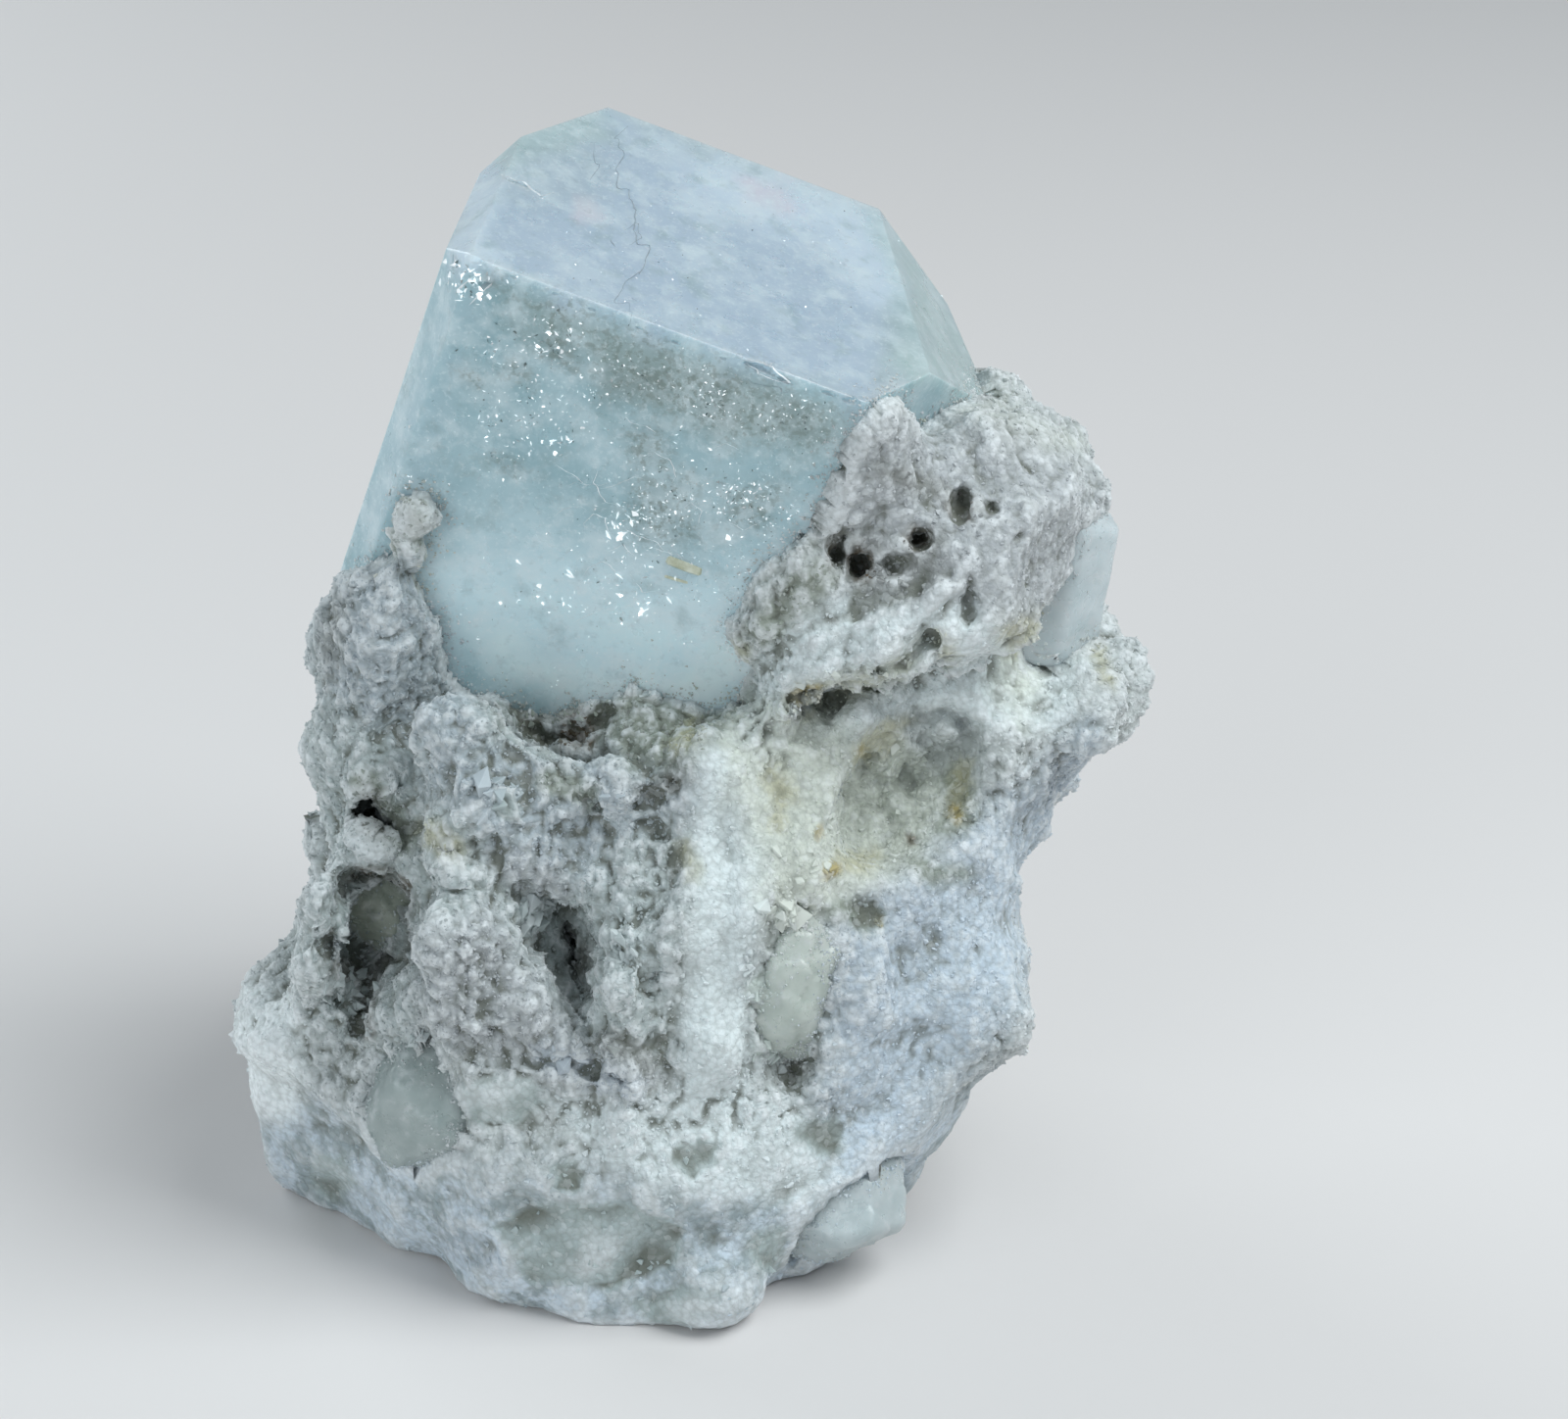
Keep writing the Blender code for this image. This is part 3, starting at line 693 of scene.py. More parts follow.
# Stains and tones of the rock's face, with painted shade and light in a few: colour, strength, width of its
# soft edge, then its outlines and its lines in the table view, each line with half its width.
ZONES = {
    "chalk": (
        (0.76, 0.83, 0.84), 0.90, 0.5,
        (
            (
                (704, 760), (738, 742), (790, 730), (800, 800), (790, 900), (770, 960), (762, 1010),
                (772, 1080), (760, 1150), (690, 1140), (690, 1060), (706, 980), (704, 880),
            ),
            (
                (780, 640), (860, 600), (960, 600), (1040, 640), (1110, 680), (1090, 740), (1000, 740),
                (960, 715), (900, 735), (840, 760), (790, 780), (770, 700),
            ),
            ((560, 1120), (690, 1110), (800, 1120), (900, 1170), (860, 1230), (700, 1220), (600, 1180)),
        ),
        (((560, 862), (480, 850), (440, 838)), 0.5),
        (((600, 890), (640, 930), (655, 1000)), 0.35),
    ),
    # Partly pale rock, partly painted light: the left side plane is lightened nearly to white for the light
    # that reaches it from the left and behind.
    "left_painted_light": (
        (0.93, 0.99, 1.0), 0.97, 0.5,
        (((232, 1060), (246, 1005), (290, 1005), (312, 1050), (302, 1140), (248, 1150)),),
    ),
    "flank_frost": (
        (0.58, 0.68, 0.78), 0.80, 1.1,
        (
            (
                (870, 930), (960, 880), (1060, 800), (1110, 740), (1120, 800), (1060, 900), (1050, 1020),
                (960, 1120), (930, 1200), (860, 1240), (840, 1120),
            ),
        ),
    ),
    "weathered": (
        (0.455, 0.52, 0.52), 0.70, 1.0,
        (
            (
                (330, 545), (450, 545), (480, 640), (560, 780), (690, 790), (700, 880), (680, 1080),
                (560, 1080), (420, 1060), (330, 1050), (290, 980), (320, 860), (290, 700), (300, 600),
            ),
        ),
    ),
    "cream": (
        (0.73, 0.765, 0.67), 0.72, 0.8,
        (
            (
                (770, 720), (850, 740), (930, 760), (980, 800), (930, 880), (850, 930), (790, 960),
                (770, 880), (740, 800),
            ),
            ((900, 395), (960, 385), (1040, 425), (1100, 450), (1060, 470), (960, 430)),
            ((1020, 620), (1050, 610), (1070, 680), (1040, 740), (1020, 700)),
        ),
        (((730, 700), (745, 730), (760, 780)), 0.5),
    ),
    "mauve": (
        (0.43, 0.45, 0.47), 0.80, 0.9,
        (
            (
                (860, 420), (960, 400), (1060, 440), (1130, 500), (1130, 600), (1040, 640), (940, 600),
                (860, 600), (840, 520),
            ),
            ((500, 920), (600, 1060), (680, 1100), (640, 1130), (520, 1090), (430, 1060), (420, 960)),
        ),
        (((520, 880), (560, 900)), 0.8),
    ),
    "slate": (
        (0.42, 0.48, 0.54), 0.60, 0.8,
        (
            (
                (345, 565), (430, 565), (455, 620), (480, 700), (500, 765), (440, 775), (380, 740),
                (330, 700), (315, 640),
            ),
            ((852, 930), (900, 920), (950, 900), (960, 960), (900, 1030), (850, 1060), (834, 1010)),
            ((960, 860), (1040, 800), (1110, 740), (1120, 770), (1040, 860), (980, 910)),
            ((590, 770), (700, 770), (700, 830), (640, 850), (590, 840)),
            ((440, 745), (560, 775), (640, 840), (600, 900), (500, 860), (430, 800)),
        ),
        (((560, 1080), (600, 1090), (640, 1110)), 0.5),
        (((460, 1260), (500, 1290)), 0.6),
    ),
    "olive": (
        (0.25, 0.28, 0.22), 0.80, 0.6,
        (
            (
                (480, 640), (540, 665), (600, 700), (700, 712), (760, 655), (752, 700), (730, 760),
                (700, 790), (640, 790), (620, 760), (560, 768), (520, 740), (486, 700), (470, 660),
            ),
        ),
        (((424, 500), (430, 540), (440, 560)), 0.5),
        (((355, 548), (395, 552)), 0.5),
        (((372, 800), (392, 830), (410, 860)), 0.5),
        (((975, 800), (985, 825), (968, 840)), 0.4),
        (((1085, 625), (1095, 660)), 0.4),
        (((862, 930), (888, 940)), 0.5),
        (((945, 888), (978, 892)), 0.4),
        (((780, 640), (810, 610), (840, 590)), 0.6),
        (((560, 800), (600, 815)), 0.4),
    ),
    # ochre is iron stain; its first outline, under the brow, is partly that stain and partly painted shadow
    # cast by the ledge above it.
    "ochre": (
        (0.50, 0.47, 0.28), 0.60, 0.6,
        (((800, 712), (833, 699), (900, 684), (940, 655), (930, 690), (880, 712), (806, 730)),),
        (((735, 690), (748, 668)), 0.4),
        (((785, 790), (800, 812), (792, 838)), 0.35),
        (((862, 882), (885, 878)), 0.4),
        (((960, 650), (968, 668)), 0.3),
        (((1040, 650), (1060, 640)), 0.6),
        (((880, 770), (905, 748)), 0.4),
        (((690, 755), (705, 745)), 0.3),
        (((440, 850), (460, 862)), 0.5),
        (((1116, 660), (1132, 694)), 0.25),
        (((700, 870), (706, 890)), 0.3),
        (((884, 760), (902, 746), (930, 736)), 0.2),
        (((985, 780), (975, 822)), 0.25),
    ),
    "glass_grey": (
        (0.42, 0.49, 0.48), 0.85, 0.15,
        tuple(SHAPES[name][0] for name in WINDOWS if not name.startswith("vein")) + (
            ((352, 920), (400, 915), (414, 930), (404, 960), (380, 975), (350, 965), (340, 945)),
            ((760, 1260), (800, 1246), (806, 1290), (770, 1300)),
        ),
    ),
    "dusk_rock": (
        (0.22, 0.225, 0.21), 0.70, 0.5,
        (
            (
                (858, 566), (880, 548), (920, 556), (960, 540), (966, 580), (930, 620), (880, 624),
                (860, 604),
            ),
            ((340, 600), (356, 610), (350, 670), (334, 700), (322, 650)),
            ((640, 806), (700, 780), (706, 800), (660, 830)),
        ),
        (((900, 480), (960, 500), (990, 520)), 0.4),
        (((620, 1060), (660, 1080)), 0.5),
    ),
    "vein_glass": (
        (0.63, 0.71, 0.66), 0.85, 0.15,
        tuple(SHAPES[name][0] for name in ("vein_window", "vein_window_low")),
    ),
    # Painted shade: the deepest holes and crevices are darkened nearly to black, as shadow fills them.
    "shade": (
        (0.10, 0.095, 0.075), 0.80, 0.3,
        tuple(
            SHAPES[name][0] for name in (
                "left_eye", "crevice", "cave_slit", "throat_edge", "cheek_slot_b", "flank_pit",
                "cheek_black_a", "cheek_black_b", "cheek_black_c", "crevice_ear", "crevice_black",
            )
        ),
        (((347, 985), (375, 1000), (372, 1050)), 0.35),
        (((690, 800), (684, 802)), 0.2),
    ),
    "rust": (
        (0.10, 0.065, 0.03), 0.90, 0.25,
        tuple(
            SHAPES[name][0] for name in (
                "crevice_black", "throat_roof", "cheek_black_b", "cheek_black_c", "cheek_slot_a"
            )
        ),
        (((576, 715), (590, 735)), 0.35),
        (((850, 562), (852, 568)), 0.25),
        (((928, 853), (929, 855)), 0.12),
    ),
    "amber": (
        (0.42, 0.33, 0.12), 0.75, 0.15, (),
        (((812, 712), (830, 708)), 0.30),
        (((836, 845), (832, 858)), 0.14),
        (((846, 890), (852, 886)), 0.18),
        (((972, 828), (976, 836)), 0.18),
        (((880, 766), (882, 770)), 0.14),
        (((896, 940), (898, 944)), 0.12),
    ),
}
ZONE_EDGE = ((0.35, 0.9, 1.7), (0.22, 0.3, 5.2))
places = mesh_places(rock.data)
facings = mesh_facings(rock.data)
shown = shows_in_view(places, facings, matrix_solid)
spots = in_table_view(places)
ragged = ragged_edge(places, ZONE_EDGE)


def keep_mask(mesh, name, mask):
    """Keep a value for each point of a mesh, for its material to read."""
    layer = mesh.attributes.new(name, "FLOAT", "POINT")
    layer.data.foreach_set("value", mask)


def mask_zones(mesh, zones, spots, ragged, shown):
    """Give a mesh one mask for each zone that the table view shows on it."""
    for zone, (_, _, softness, outlines, *lines) in zones.items():
        mask = np.zeros(len(spots))
        wander = ragged * min(1.0, 0.3 + softness)
        for outline in outlines:
            mask = np.maximum(mask, fade(outline_distance(spots, outline) + wander, -softness, softness))
        for line, width in lines:
            gap = distance_to_line(spots, [np.array(spot, dtype=float) for spot in line]) / PIXELS_PER_MM
            mask = np.maximum(mask, fade(gap - width + wander, -softness / 2, softness / 2))
        keep_mask(mesh, zone, mask * shown)


mask_zones(rock.data, ZONES, spots, ragged, shown)

# Away from that face, chalky and dusky patches, and an olive tint where rock meets crystal.
patches = smooth_noise(places, 5.5, 21.0)
foot = fade(places[:, 2] + 1.5 * ragged + 0.6 * patches, SMOOTH_FOOT - 3.5, SMOOTH_FOOT + 0.5)
keep_mask(rock.data, "icy_foot", foot)
keep_mask(rock.data, "pale_patch", fade(-patches, -0.25, 0.1) * (1.0 - shown))
keep_mask(rock.data, "stain_patch", fade(-smooth_noise(places, 2.6, 55.0), -0.42, -0.2) * (1.0 - shown))
keep_mask(rock.data, "dusky_patch", fade(patches, -0.4, 0.0) * (1.0 - shown))
from_crystal, _ = reach_to("aquamarine_crystal", places)
socket = fade(from_crystal, -0.06, 0.02)
keep_mask(rock.data, "socket", socket)
keep_mask(rock.data, "contact", fade(from_crystal + 1.2 * ragged, 0.1, 1.3) * (1.0 - socket))

# Where a place lies below its neighbours it gets painted shade with some dust, where it stands out a painted
# highlight.
LEVEL_ROUNDS = 10
FLOOR_SHARE = 0.72
edges = np.empty(len(rock.data.edges) * 2, dtype=np.int64)
rock.data.edges.foreach_get("vertices", edges)
edges = edges.reshape(-1, 2)
neighbours = np.bincount(edges.ravel(), minlength=len(places)).astype(float)
level = places.copy()
for _ in range(LEVEL_ROUNDS):
    total = np.zeros_like(level)
    for axis in range(3):
        total[:, axis] += np.bincount(edges[:, 0], level[edges[:, 1], axis], len(level))
        total[:, axis] += np.bincount(edges[:, 1], level[edges[:, 0], axis], len(level))
    level = 0.5 * level + 0.5 * total / neighbours[:, None]
standing = ((places - level) * facings).sum(axis=1)
# These two are sugar white down to their floors, so they get less painted shade and highlight.
for name in ("vein", "right_hollow"):
    standing *= 1.0 - FLOOR_SHARE * fade(outline_distance(spots, CALM_PARTS[name][0]), *CALM_FADE) * shown
keep_mask(rock.data, "standing", np.clip(0.5 + 4.3 * standing, 0.0, 1.0))


def reckon(tree, operation, first, second=0.0):
    """One sum on two masks or values."""
    return add_node(tree, "ShaderNodeMath", {0: first, 1: second}, operation=operation).outputs[0]


def spread(tree, value, low, high, start=0.0, end=1.0):
    """Stretch the part of a value between low and high over start to end."""
    inputs = {"Value": value, "From Min": low, "From Max": high, "To Min": start, "To Max": end}
    return add_node(tree, "ShaderNodeMapRange", inputs).outputs["Result"]


def new_effect(name, inputs, outputs):
    """A shader node group with named inputs and outputs."""
    effect = bpy.data.node_groups.new(name, "ShaderNodeTree")
    for label, kind, value in inputs:
        socket = effect.interface.new_socket(label, in_out="INPUT", socket_type=kind)
        if value is not None:
            socket.default_value = value
    for label, kind in outputs:
        effect.interface.new_socket(label, in_out="OUTPUT", socket_type=kind)
    return effect, effect.nodes.new("NodeGroupInput"), effect.nodes.new("NodeGroupOutput")


# Sugary grain: small crystals packed side by side, each with its own tone.
grain_effect, grain_in, grain_out = new_effect(
    "sugar_grain",
    [("Grain Size", "NodeSocketFloat", 0.3), ("Unevenness", "NodeSocketFloat", 0.3)],
    [("Tone", "NodeSocketFloat"), ("Seam", "NodeSocketFloat"), ("Height", "NodeSocketFloat")],
)
where = add_node(grain_effect, "ShaderNodeTexCoord").outputs["Object"]
scale = reckon(grain_effect, "DIVIDE", 1.0 / MM, grain_in.outputs["Grain Size"])
wobble = add_node(grain_effect, "ShaderNodeTexNoise", {"Vector": where, "Scale": scale, "Detail": 2.0})
drift = add_node(grain_effect, "ShaderNodeVectorMath", {0: wobble.outputs["Color"]}, operation="SCALE")
unevenness = reckon(grain_effect, "MULTIPLY", grain_in.outputs["Unevenness"], MM)
grain_effect.links.new(unevenness, drift.inputs["Scale"])
warped = add_node(grain_effect, "ShaderNodeVectorMath", {0: where, 1: drift.outputs[0]}, operation="ADD")
cells = add_node(grain_effect, "ShaderNodeTexVoronoi", {"Vector": warped.outputs[0], "Scale": scale})
tone = add_node(grain_effect, "ShaderNodeSeparateColor", {"Color": cells.outputs["Color"]})
fine_scale = reckon(grain_effect, "MULTIPLY", scale, 3.0)
fine_wave = add_node(
    grain_effect, "ShaderNodeTexNoise", {"Vector": where, "Scale": fine_scale, "Detail": 4.0}
)
half_wave = reckon(grain_effect, "MULTIPLY", fine_wave.outputs["Fac"], 0.5)
grain_height = reckon(grain_effect, "SUBTRACT", half_wave, cells.outputs["Distance"])
grain_effect.links.new(tone.outputs["Red"], grain_out.inputs["Tone"])
seam = spread(grain_effect, cells.outputs["Distance"], 0.35, 0.8)
grain_effect.links.new(seam, grain_out.inputs["Seam"])
grain_effect.links.new(grain_height, grain_out.inputs["Height"])

# Cloud: soft mottling, used for milky and dusty zones.
cloud_effect, cloud_in, cloud_out = new_effect(
    "cloud",
    [
        ("Size", "NodeSocketFloat", 2.0),
        ("Low", "NodeSocketFloat", 0.4),
        ("High", "NodeSocketFloat", 0.6),
        ("Shift", "NodeSocketFloat", 0.0),
    ],
    [("Mask", "NodeSocketFloat")],
)
where = add_node(cloud_effect, "ShaderNodeTexCoord").outputs["Object"]
moved_by = cloud_in.outputs["Shift"]
shifted = add_node(cloud_effect, "ShaderNodeVectorMath", {0: where, 1: moved_by}, operation="ADD")
scale = reckon(cloud_effect, "DIVIDE", 1.0 / MM, cloud_in.outputs["Size"])
billow = add_node(
    cloud_effect,
    "ShaderNodeTexNoise",
    {"Vector": shifted.outputs[0], "Scale": scale, "Detail": 5.0, "Roughness": 0.6},
)
billow_mask = spread(cloud_effect, billow.outputs["Fac"], cloud_in.outputs["Low"], cloud_in.outputs["High"])
cloud_effect.links.new(billow_mask, cloud_out.inputs["Mask"])


def place_effect(tree, effect, **inputs):
    """Place an effect in a material with its own values."""
    made = tree.nodes.new("ShaderNodeGroup")
    made.node_tree = effect
    for name, value in inputs.items():
        made.inputs[name.replace("_", " ")].default_value = value
    return made


def cloud_mask(tree, size, low, high, shift=0.0):
    """A soft mottled mask; size in millimetres."""
    return place_effect(tree, cloud_effect, Size=size, Low=low, High=high, Shift=shift).outputs["Mask"]


def zone_mask(tree, zone):
    """A mask that the mesh keeps."""
    return add_node(tree, "ShaderNodeAttribute", attribute_name=zone).outputs["Fac"]


def stain(tree, colour, mask, strength, shade):
    """Lay a shade over a colour by a mask, at part of its strength."""
    return tint(tree, reckon(tree, "MULTIPLY", mask, strength), colour, shade)


def stain_zones(tree, colour, zones):
    """Lay each zone's own shade over a colour."""
    for zone, (shade, strength, *_) in zones.items():
        colour = stain(tree, colour, zone_mask(tree, zone), strength, shade)
    return colour


FELDSPAR_GREY = (0.43, 0.465, 0.465)
FELDSPAR_PALE = (0.64, 0.68, 0.675)
CHALK_AND_HIGHLIGHT = (0.84, 0.87, 0.885)
CREVICE_SHADE_AND_DUST = (0.15, 0.16, 0.13)
# Broad tones of the rock: colour, strength.
PATCHES = {
    "pale_patch": (CHALK_AND_HIGHLIGHT, 0.8),
    "dusky_patch": ((0.34, 0.38, 0.40), 0.7),
    "stain_patch": ((0.46, 0.45, 0.33), 0.6),
    "contact": ((0.31, 0.34, 0.28), 0.45),
}


def feldspar_colour(tree):
    """The rock's colour from its zones, with painted shade and light in some, before the tone of single
    grains.
    """
    colour = tint(tree, cloud_mask(tree, 2.4, 0.40, 0.60), FELDSPAR_GREY, FELDSPAR_PALE)
    ice = tint(tree, cloud_mask(tree, 2.0, 0.46, 0.54, 0.03), (0.34, 0.41, 0.44), (0.62, 0.71, 0.79))
    colour = stain(tree, colour, zone_mask(tree, "icy_foot"), 0.9, ice)
    colour = stain_zones(tree, colour, PATCHES)
    colour = stain_zones(tree, colour, ZONES)
    # Painted light: the socket walls, seen through the crystal, are lightened for the light that the milky
    # crystal sends onto them.
    return tint(tree, zone_mask(tree, "socket"), colour, (0.78, 0.84, 0.85))


feldspar, tree, shader = new_finish(
    "feldspar", Subsurface_Weight=0.3, Subsurface_Radius=(1.0, 1.0, 1.0), Subsurface_Scale=0.5 * MM, IOR=1.4
)
grain = place_effect(tree, grain_effect, Grain_Size=0.24, Unevenness=0.25)
speck = place_effect(tree, grain_effect, Grain_Size=0.55, Unevenness=0.6)
colour = feldspar_colour(tree)
standing_mask = zone_mask(tree, "standing")
# Painted shade, with some dust, where a place lies below its neighbours.
colour = tint(tree, spread(tree, standing_mask, 0.45, 0.08, 0.0, 0.85), colour, CREVICE_SHADE_AND_DUST)
# Painted highlight: chalk white where a place stands out from its neighbours.
colour = tint(tree, spread(tree, standing_mask, 0.55, 0.9, 0.0, 0.6), colour, CHALK_AND_HIGHLIGHT)
colour = tint(tree, spread(tree, grain.outputs["Tone"], 0.6, 1.0, 0.0, 0.30), colour, CHALK_AND_HIGHLIGHT)
colour = tint(tree, spread(tree, speck.outputs["Tone"], 0.35, 0.0, 0.0, 0.22), colour, (0.26, 0.29, 0.28))
colour = tint(tree, spread(tree, grain.outputs["Seam"], 0.0, 1.0, 0.0, 0.25), colour, CREVICE_SHADE_AND_DUST)
tree.links.new(colour, shader.inputs["Base Color"])
tree.links.new(spread(tree, grain.outputs["Tone"], 0.0, 0.35, 0.40, 0.75), shader.inputs["Roughness"])
bump = add_node(
    tree, "ShaderNodeBump", {"Height": grain.outputs["Height"], "Strength": 0.6, "Distance": 0.12 * MM}
)
tree.links.new(bump.outputs["Normal"], shader.inputs["Normal"])
rock.data.materials.append(feldspar)
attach(rock, "root")
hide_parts("matrix")

# ---- the sugar grains -------------------------------------------------------------------
# Loose-edged feldspar crystals, a fifth to half of a millimetre across, that stand out of the
# broken rock all over. Each is one small cleavage block, set half into it at its own tilt.
GRAIN_PIECES = 3
GRAINS_EACH = 20000
GRAIN_SIZES = (0.045, 0.14)  # half width of the smallest and the largest
GRAIN_SINK = 0.02  # how far their middles lie under the surface
GRAIN_GAP = 0.12  # rock nearer than this to a piece that it holds has none
BARE_BASE = 0.25  # nor has the rock's foot up to this height
SHARD_CORNERS = np.array(((1, 0, 0), (-1, 0, 0), (0, 1, 0), (0, -1, 0), (0, 0, 1), (0, 0, -1)), dtype=float)
SHARD_FACES = np.array(
    ((0, 2, 4), (2, 1, 4), (1, 3, 4), (3, 0, 4), (2, 0, 5), (1, 2, 5), (3, 1, 5), (0, 3, 5))
)
chance = np.random.default_rng(7)


def skin_triangles(mesh, places):
    """A mesh's triangles: corners, areas, and the way that each faces."""
    mesh.calc_loop_triangles()
    triangles = np.empty(len(mesh.loop_triangles) * 3, dtype=np.int64)
    mesh.loop_triangles.foreach_get("vertices", triangles)
    triangles = triangles.reshape(-1, 3)
    sides = places[triangles[:, 1:]] - places[triangles[:, :1]]
    outward = np.cross(sides[:, 0], sides[:, 1])
    area = np.linalg.norm(outward, axis=1) / 2
    return triangles, area, outward / np.maximum(2 * area, 1e-12)[:, None]


def scatter_on(places, triangles, weight, count):
    """Points strewn over a skin, thickest where its triangles weigh most, and their triangles."""
    chosen = chance.choice(len(triangles), count, p=weight / weight.sum())
    shares = chance.dirichlet((1, 1, 1), count)
    return (places[triangles[chosen]] * shares[:, :, None]).sum(axis=1), chosen


triangles, area, outward = skin_triangles(rock.data, places)
hidden = np.zeros(len(places), dtype=bool)
for name in HELD:
    hidden |= reach_to(name, places)[0] < GRAIN_GAP
hidden |= places[:, 2] < BARE_BASE
window = in_windows(spots, -0.15, 0.15) * shown
density = (1.0 - hidden) * (1.0 - 0.95 * window)
density *= 1.0 - 0.85 * fade(places[:, 2], SMOOTH_FOOT - 2.5, SMOOTH_FOOT + 0.5)
calm_parts(density, spots, shown)
weight = area * density[triangles].mean(axis=1)
rock_masks = {}
for layer in (*ZONES, "icy_foot", *PATCHES, "socket"):
    values = np.empty(len(places))
    rock.data.attributes[layer].data.foreach_get("value", values)
    rock_masks[layer] = values


def random_turns(count):
    """Rotation matrices spread evenly over every direction."""
    quaternions = chance.normal(size=(count, 4))
    w, x, y, z = (quaternions / np.linalg.norm(quaternions, axis=1)[:, None]).T
    return np.stack(
        (
            1 - 2 * (y * y + z * z), 2 * (x * y - z * w), 2 * (x * z + y * w),
            2 * (x * y + z * w), 1 - 2 * (x * x + z * z), 2 * (y * z - x * w),
            2 * (x * z - y * w), 2 * (y * z + x * w), 1 - 2 * (x * x + y * y),
        ),
        axis=1,
    ).reshape(-1, 3, 3)


def scattered_shards(centres, half_sizes, unevenness=0.35):
    """Corners and faces of one small block at each centre."""
    count = len(centres)
    corners = SHARD_CORNERS + unevenness * chance.uniform(-1, 1, (count, 6, 3))
    corners *= half_sizes[:, None, :]
    corners = np.einsum("nij,nkj->nki", random_turns(count), corners) + centres[:, None, :]
    faces = SHARD_FACES[None] + 6 * np.arange(count)[:, None, None]
    return corners.reshape(-1, 3), faces.reshape(-1, 3)


def lay_tiles(mesh, faces_each=len(SHARD_FACES)):
    """Give each shard its own tile of one map, so that its single tone can be baked."""
    count = len(mesh.polygons) // faces_each
    across = math.ceil(math.sqrt(count))
    tile = np.repeat(np.arange(count), 3 * faces_each)
    corner = np.tile(((0.15, 0.15), (0.85, 0.15), (0.5, 0.85)), (count * faces_each, 1))
    spots = (np.column_stack((tile % across, tile // across)) + corner) / across
    mesh.uv_layers.new(name="OFBake").data.foreach_set("uv", spots.ravel())


def give_tones(mesh, tones, own_tone):
    """Hand each shard the rock's tones at its seat, and one of its own."""
    for layer, values in (*tones.items(), ("own_tone", own_tone)):
        keep_mask(mesh, layer, np.repeat(values, len(SHARD_CORNERS)))
    lay_tiles(mesh)


sugar, tree, shader = new_finish(
    "sugar_grains", Subsurface_Weight=0.3,
    Subsurface_Radius=(1.0, 1.0, 1.0),
    Subsurface_Scale=0.4 * MM,
    IOR=1.4,
)
colour = feldspar_colour(tree)
own_tone = zone_mask(tree, "own_tone")
colour = tint(tree, spread(tree, own_tone, 0.45, 1.0, 0.0, 0.36), colour, CHALK_AND_HIGHLIGHT)
colour = tint(tree, spread(tree, own_tone, 0.3, 0.0, 0.0, 0.26), colour, (0.28, 0.31, 0.31))
tree.links.new(colour, shader.inputs["Base Color"])
tree.links.new(spread(tree, own_tone, 0.0, 0.4, 0.3, 0.75), shader.inputs["Roughness"])
for batch in range(GRAIN_PIECES):
    centres, chosen = scatter_on(places, triangles, weight, GRAINS_EACH)
    centres -= GRAIN_SINK * outward[chosen]
    sizes = GRAIN_SIZES[0] + (GRAIN_SIZES[1] - GRAIN_SIZES[0]) * chance.random((GRAINS_EACH, 1)) ** 2
    sizes = sizes * chance.uniform(0.55, 1.0, (GRAINS_EACH, 3))
    corners, faces = scattered_shards(centres, sizes)
    corners[:, 2] = np.maximum(corners[:, 2], 0.0)
    mesh = mesh_from("sugar_grains", corners * MM, faces)
    tones = {layer: mask[triangles[chosen]].mean(axis=1) for layer, mask in rock_masks.items()}
    give_tones(mesh, tones, chance.random(GRAINS_EACH))
    grains = new_piece(f"sugar_grains_{batch + 1}", mesh, sugar)
    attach(grains, "root")

# ---- the loose chips ------------------------------------------------------------------------
# Bigger feldspar chips, a third of a millimetre to one across, that lie wedged in the caves and
# along the broken edges, where the rock came apart in small blocks.
# Each nest: middle and spread in the table view, number, half size of its chips.
CHIP_NESTS = {
    "above_vein_glass": ((812, 934), (26, 10), 26, 0.46),
    "beside_vein_glass": ((764, 985), (6, 34), 14, 0.34),
    "under_vein_glass": ((800, 1076), (24, 12), 16, 0.36),
    "right_of_vein_glass": ((842, 985), (10, 26), 12, 0.30),
    "cave_blocks": ((545, 935), (18, 28), 22, 0.42),
    "cave_foot": ((590, 1075), (34, 14), 26, 0.30),
    "throat_floor": ((358, 1010), (20, 22), 26, 0.34),
    "throat_foot": ((372, 1050), (12, 18), 12, 0.26),
    "pillar": ((634, 980), (16, 40), 18, 0.34),
    "block_crystal": ((505, 826), (16, 14), 7, 0.60),
    "hollow": ((920, 790), (42, 34), 34, 0.34),
    "hollow_foot": ((850, 870), (46, 30), 34, 0.30),
    "brow": ((880, 690), (60, 10), 26, 0.22),
    "cheek": ((905, 590), (40, 16), 30, 0.24),
    "crevice": ((570, 725), (44, 16), 30, 0.24),
    "left_window_rim": ((372, 1110), (8, 40), 16, 0.26),
    "left_window_top": ((425, 1062), (26, 8), 14, 0.28),
    "shelf": ((640, 815), (44, 14), 26, 0.26),
    "left_rib": ((345, 760), (20, 80), 40, 0.26),
    "flank": ((940, 960), (60, 70), 40, 0.20),
    "foot": ((600, 1210), (190, 40), 60, 0.24),
    "foot_low": ((640, 1290), (150, 30), 40, 0.26),
}
CHIP_GAP = 0.05  # no chip sits nearer than this to a piece that the rock holds
NO_CHIP_TONES = ("rust", "shade", "socket")
rock_skin = skin_of(rock.data)
centres, sizes, owners = [], [], []
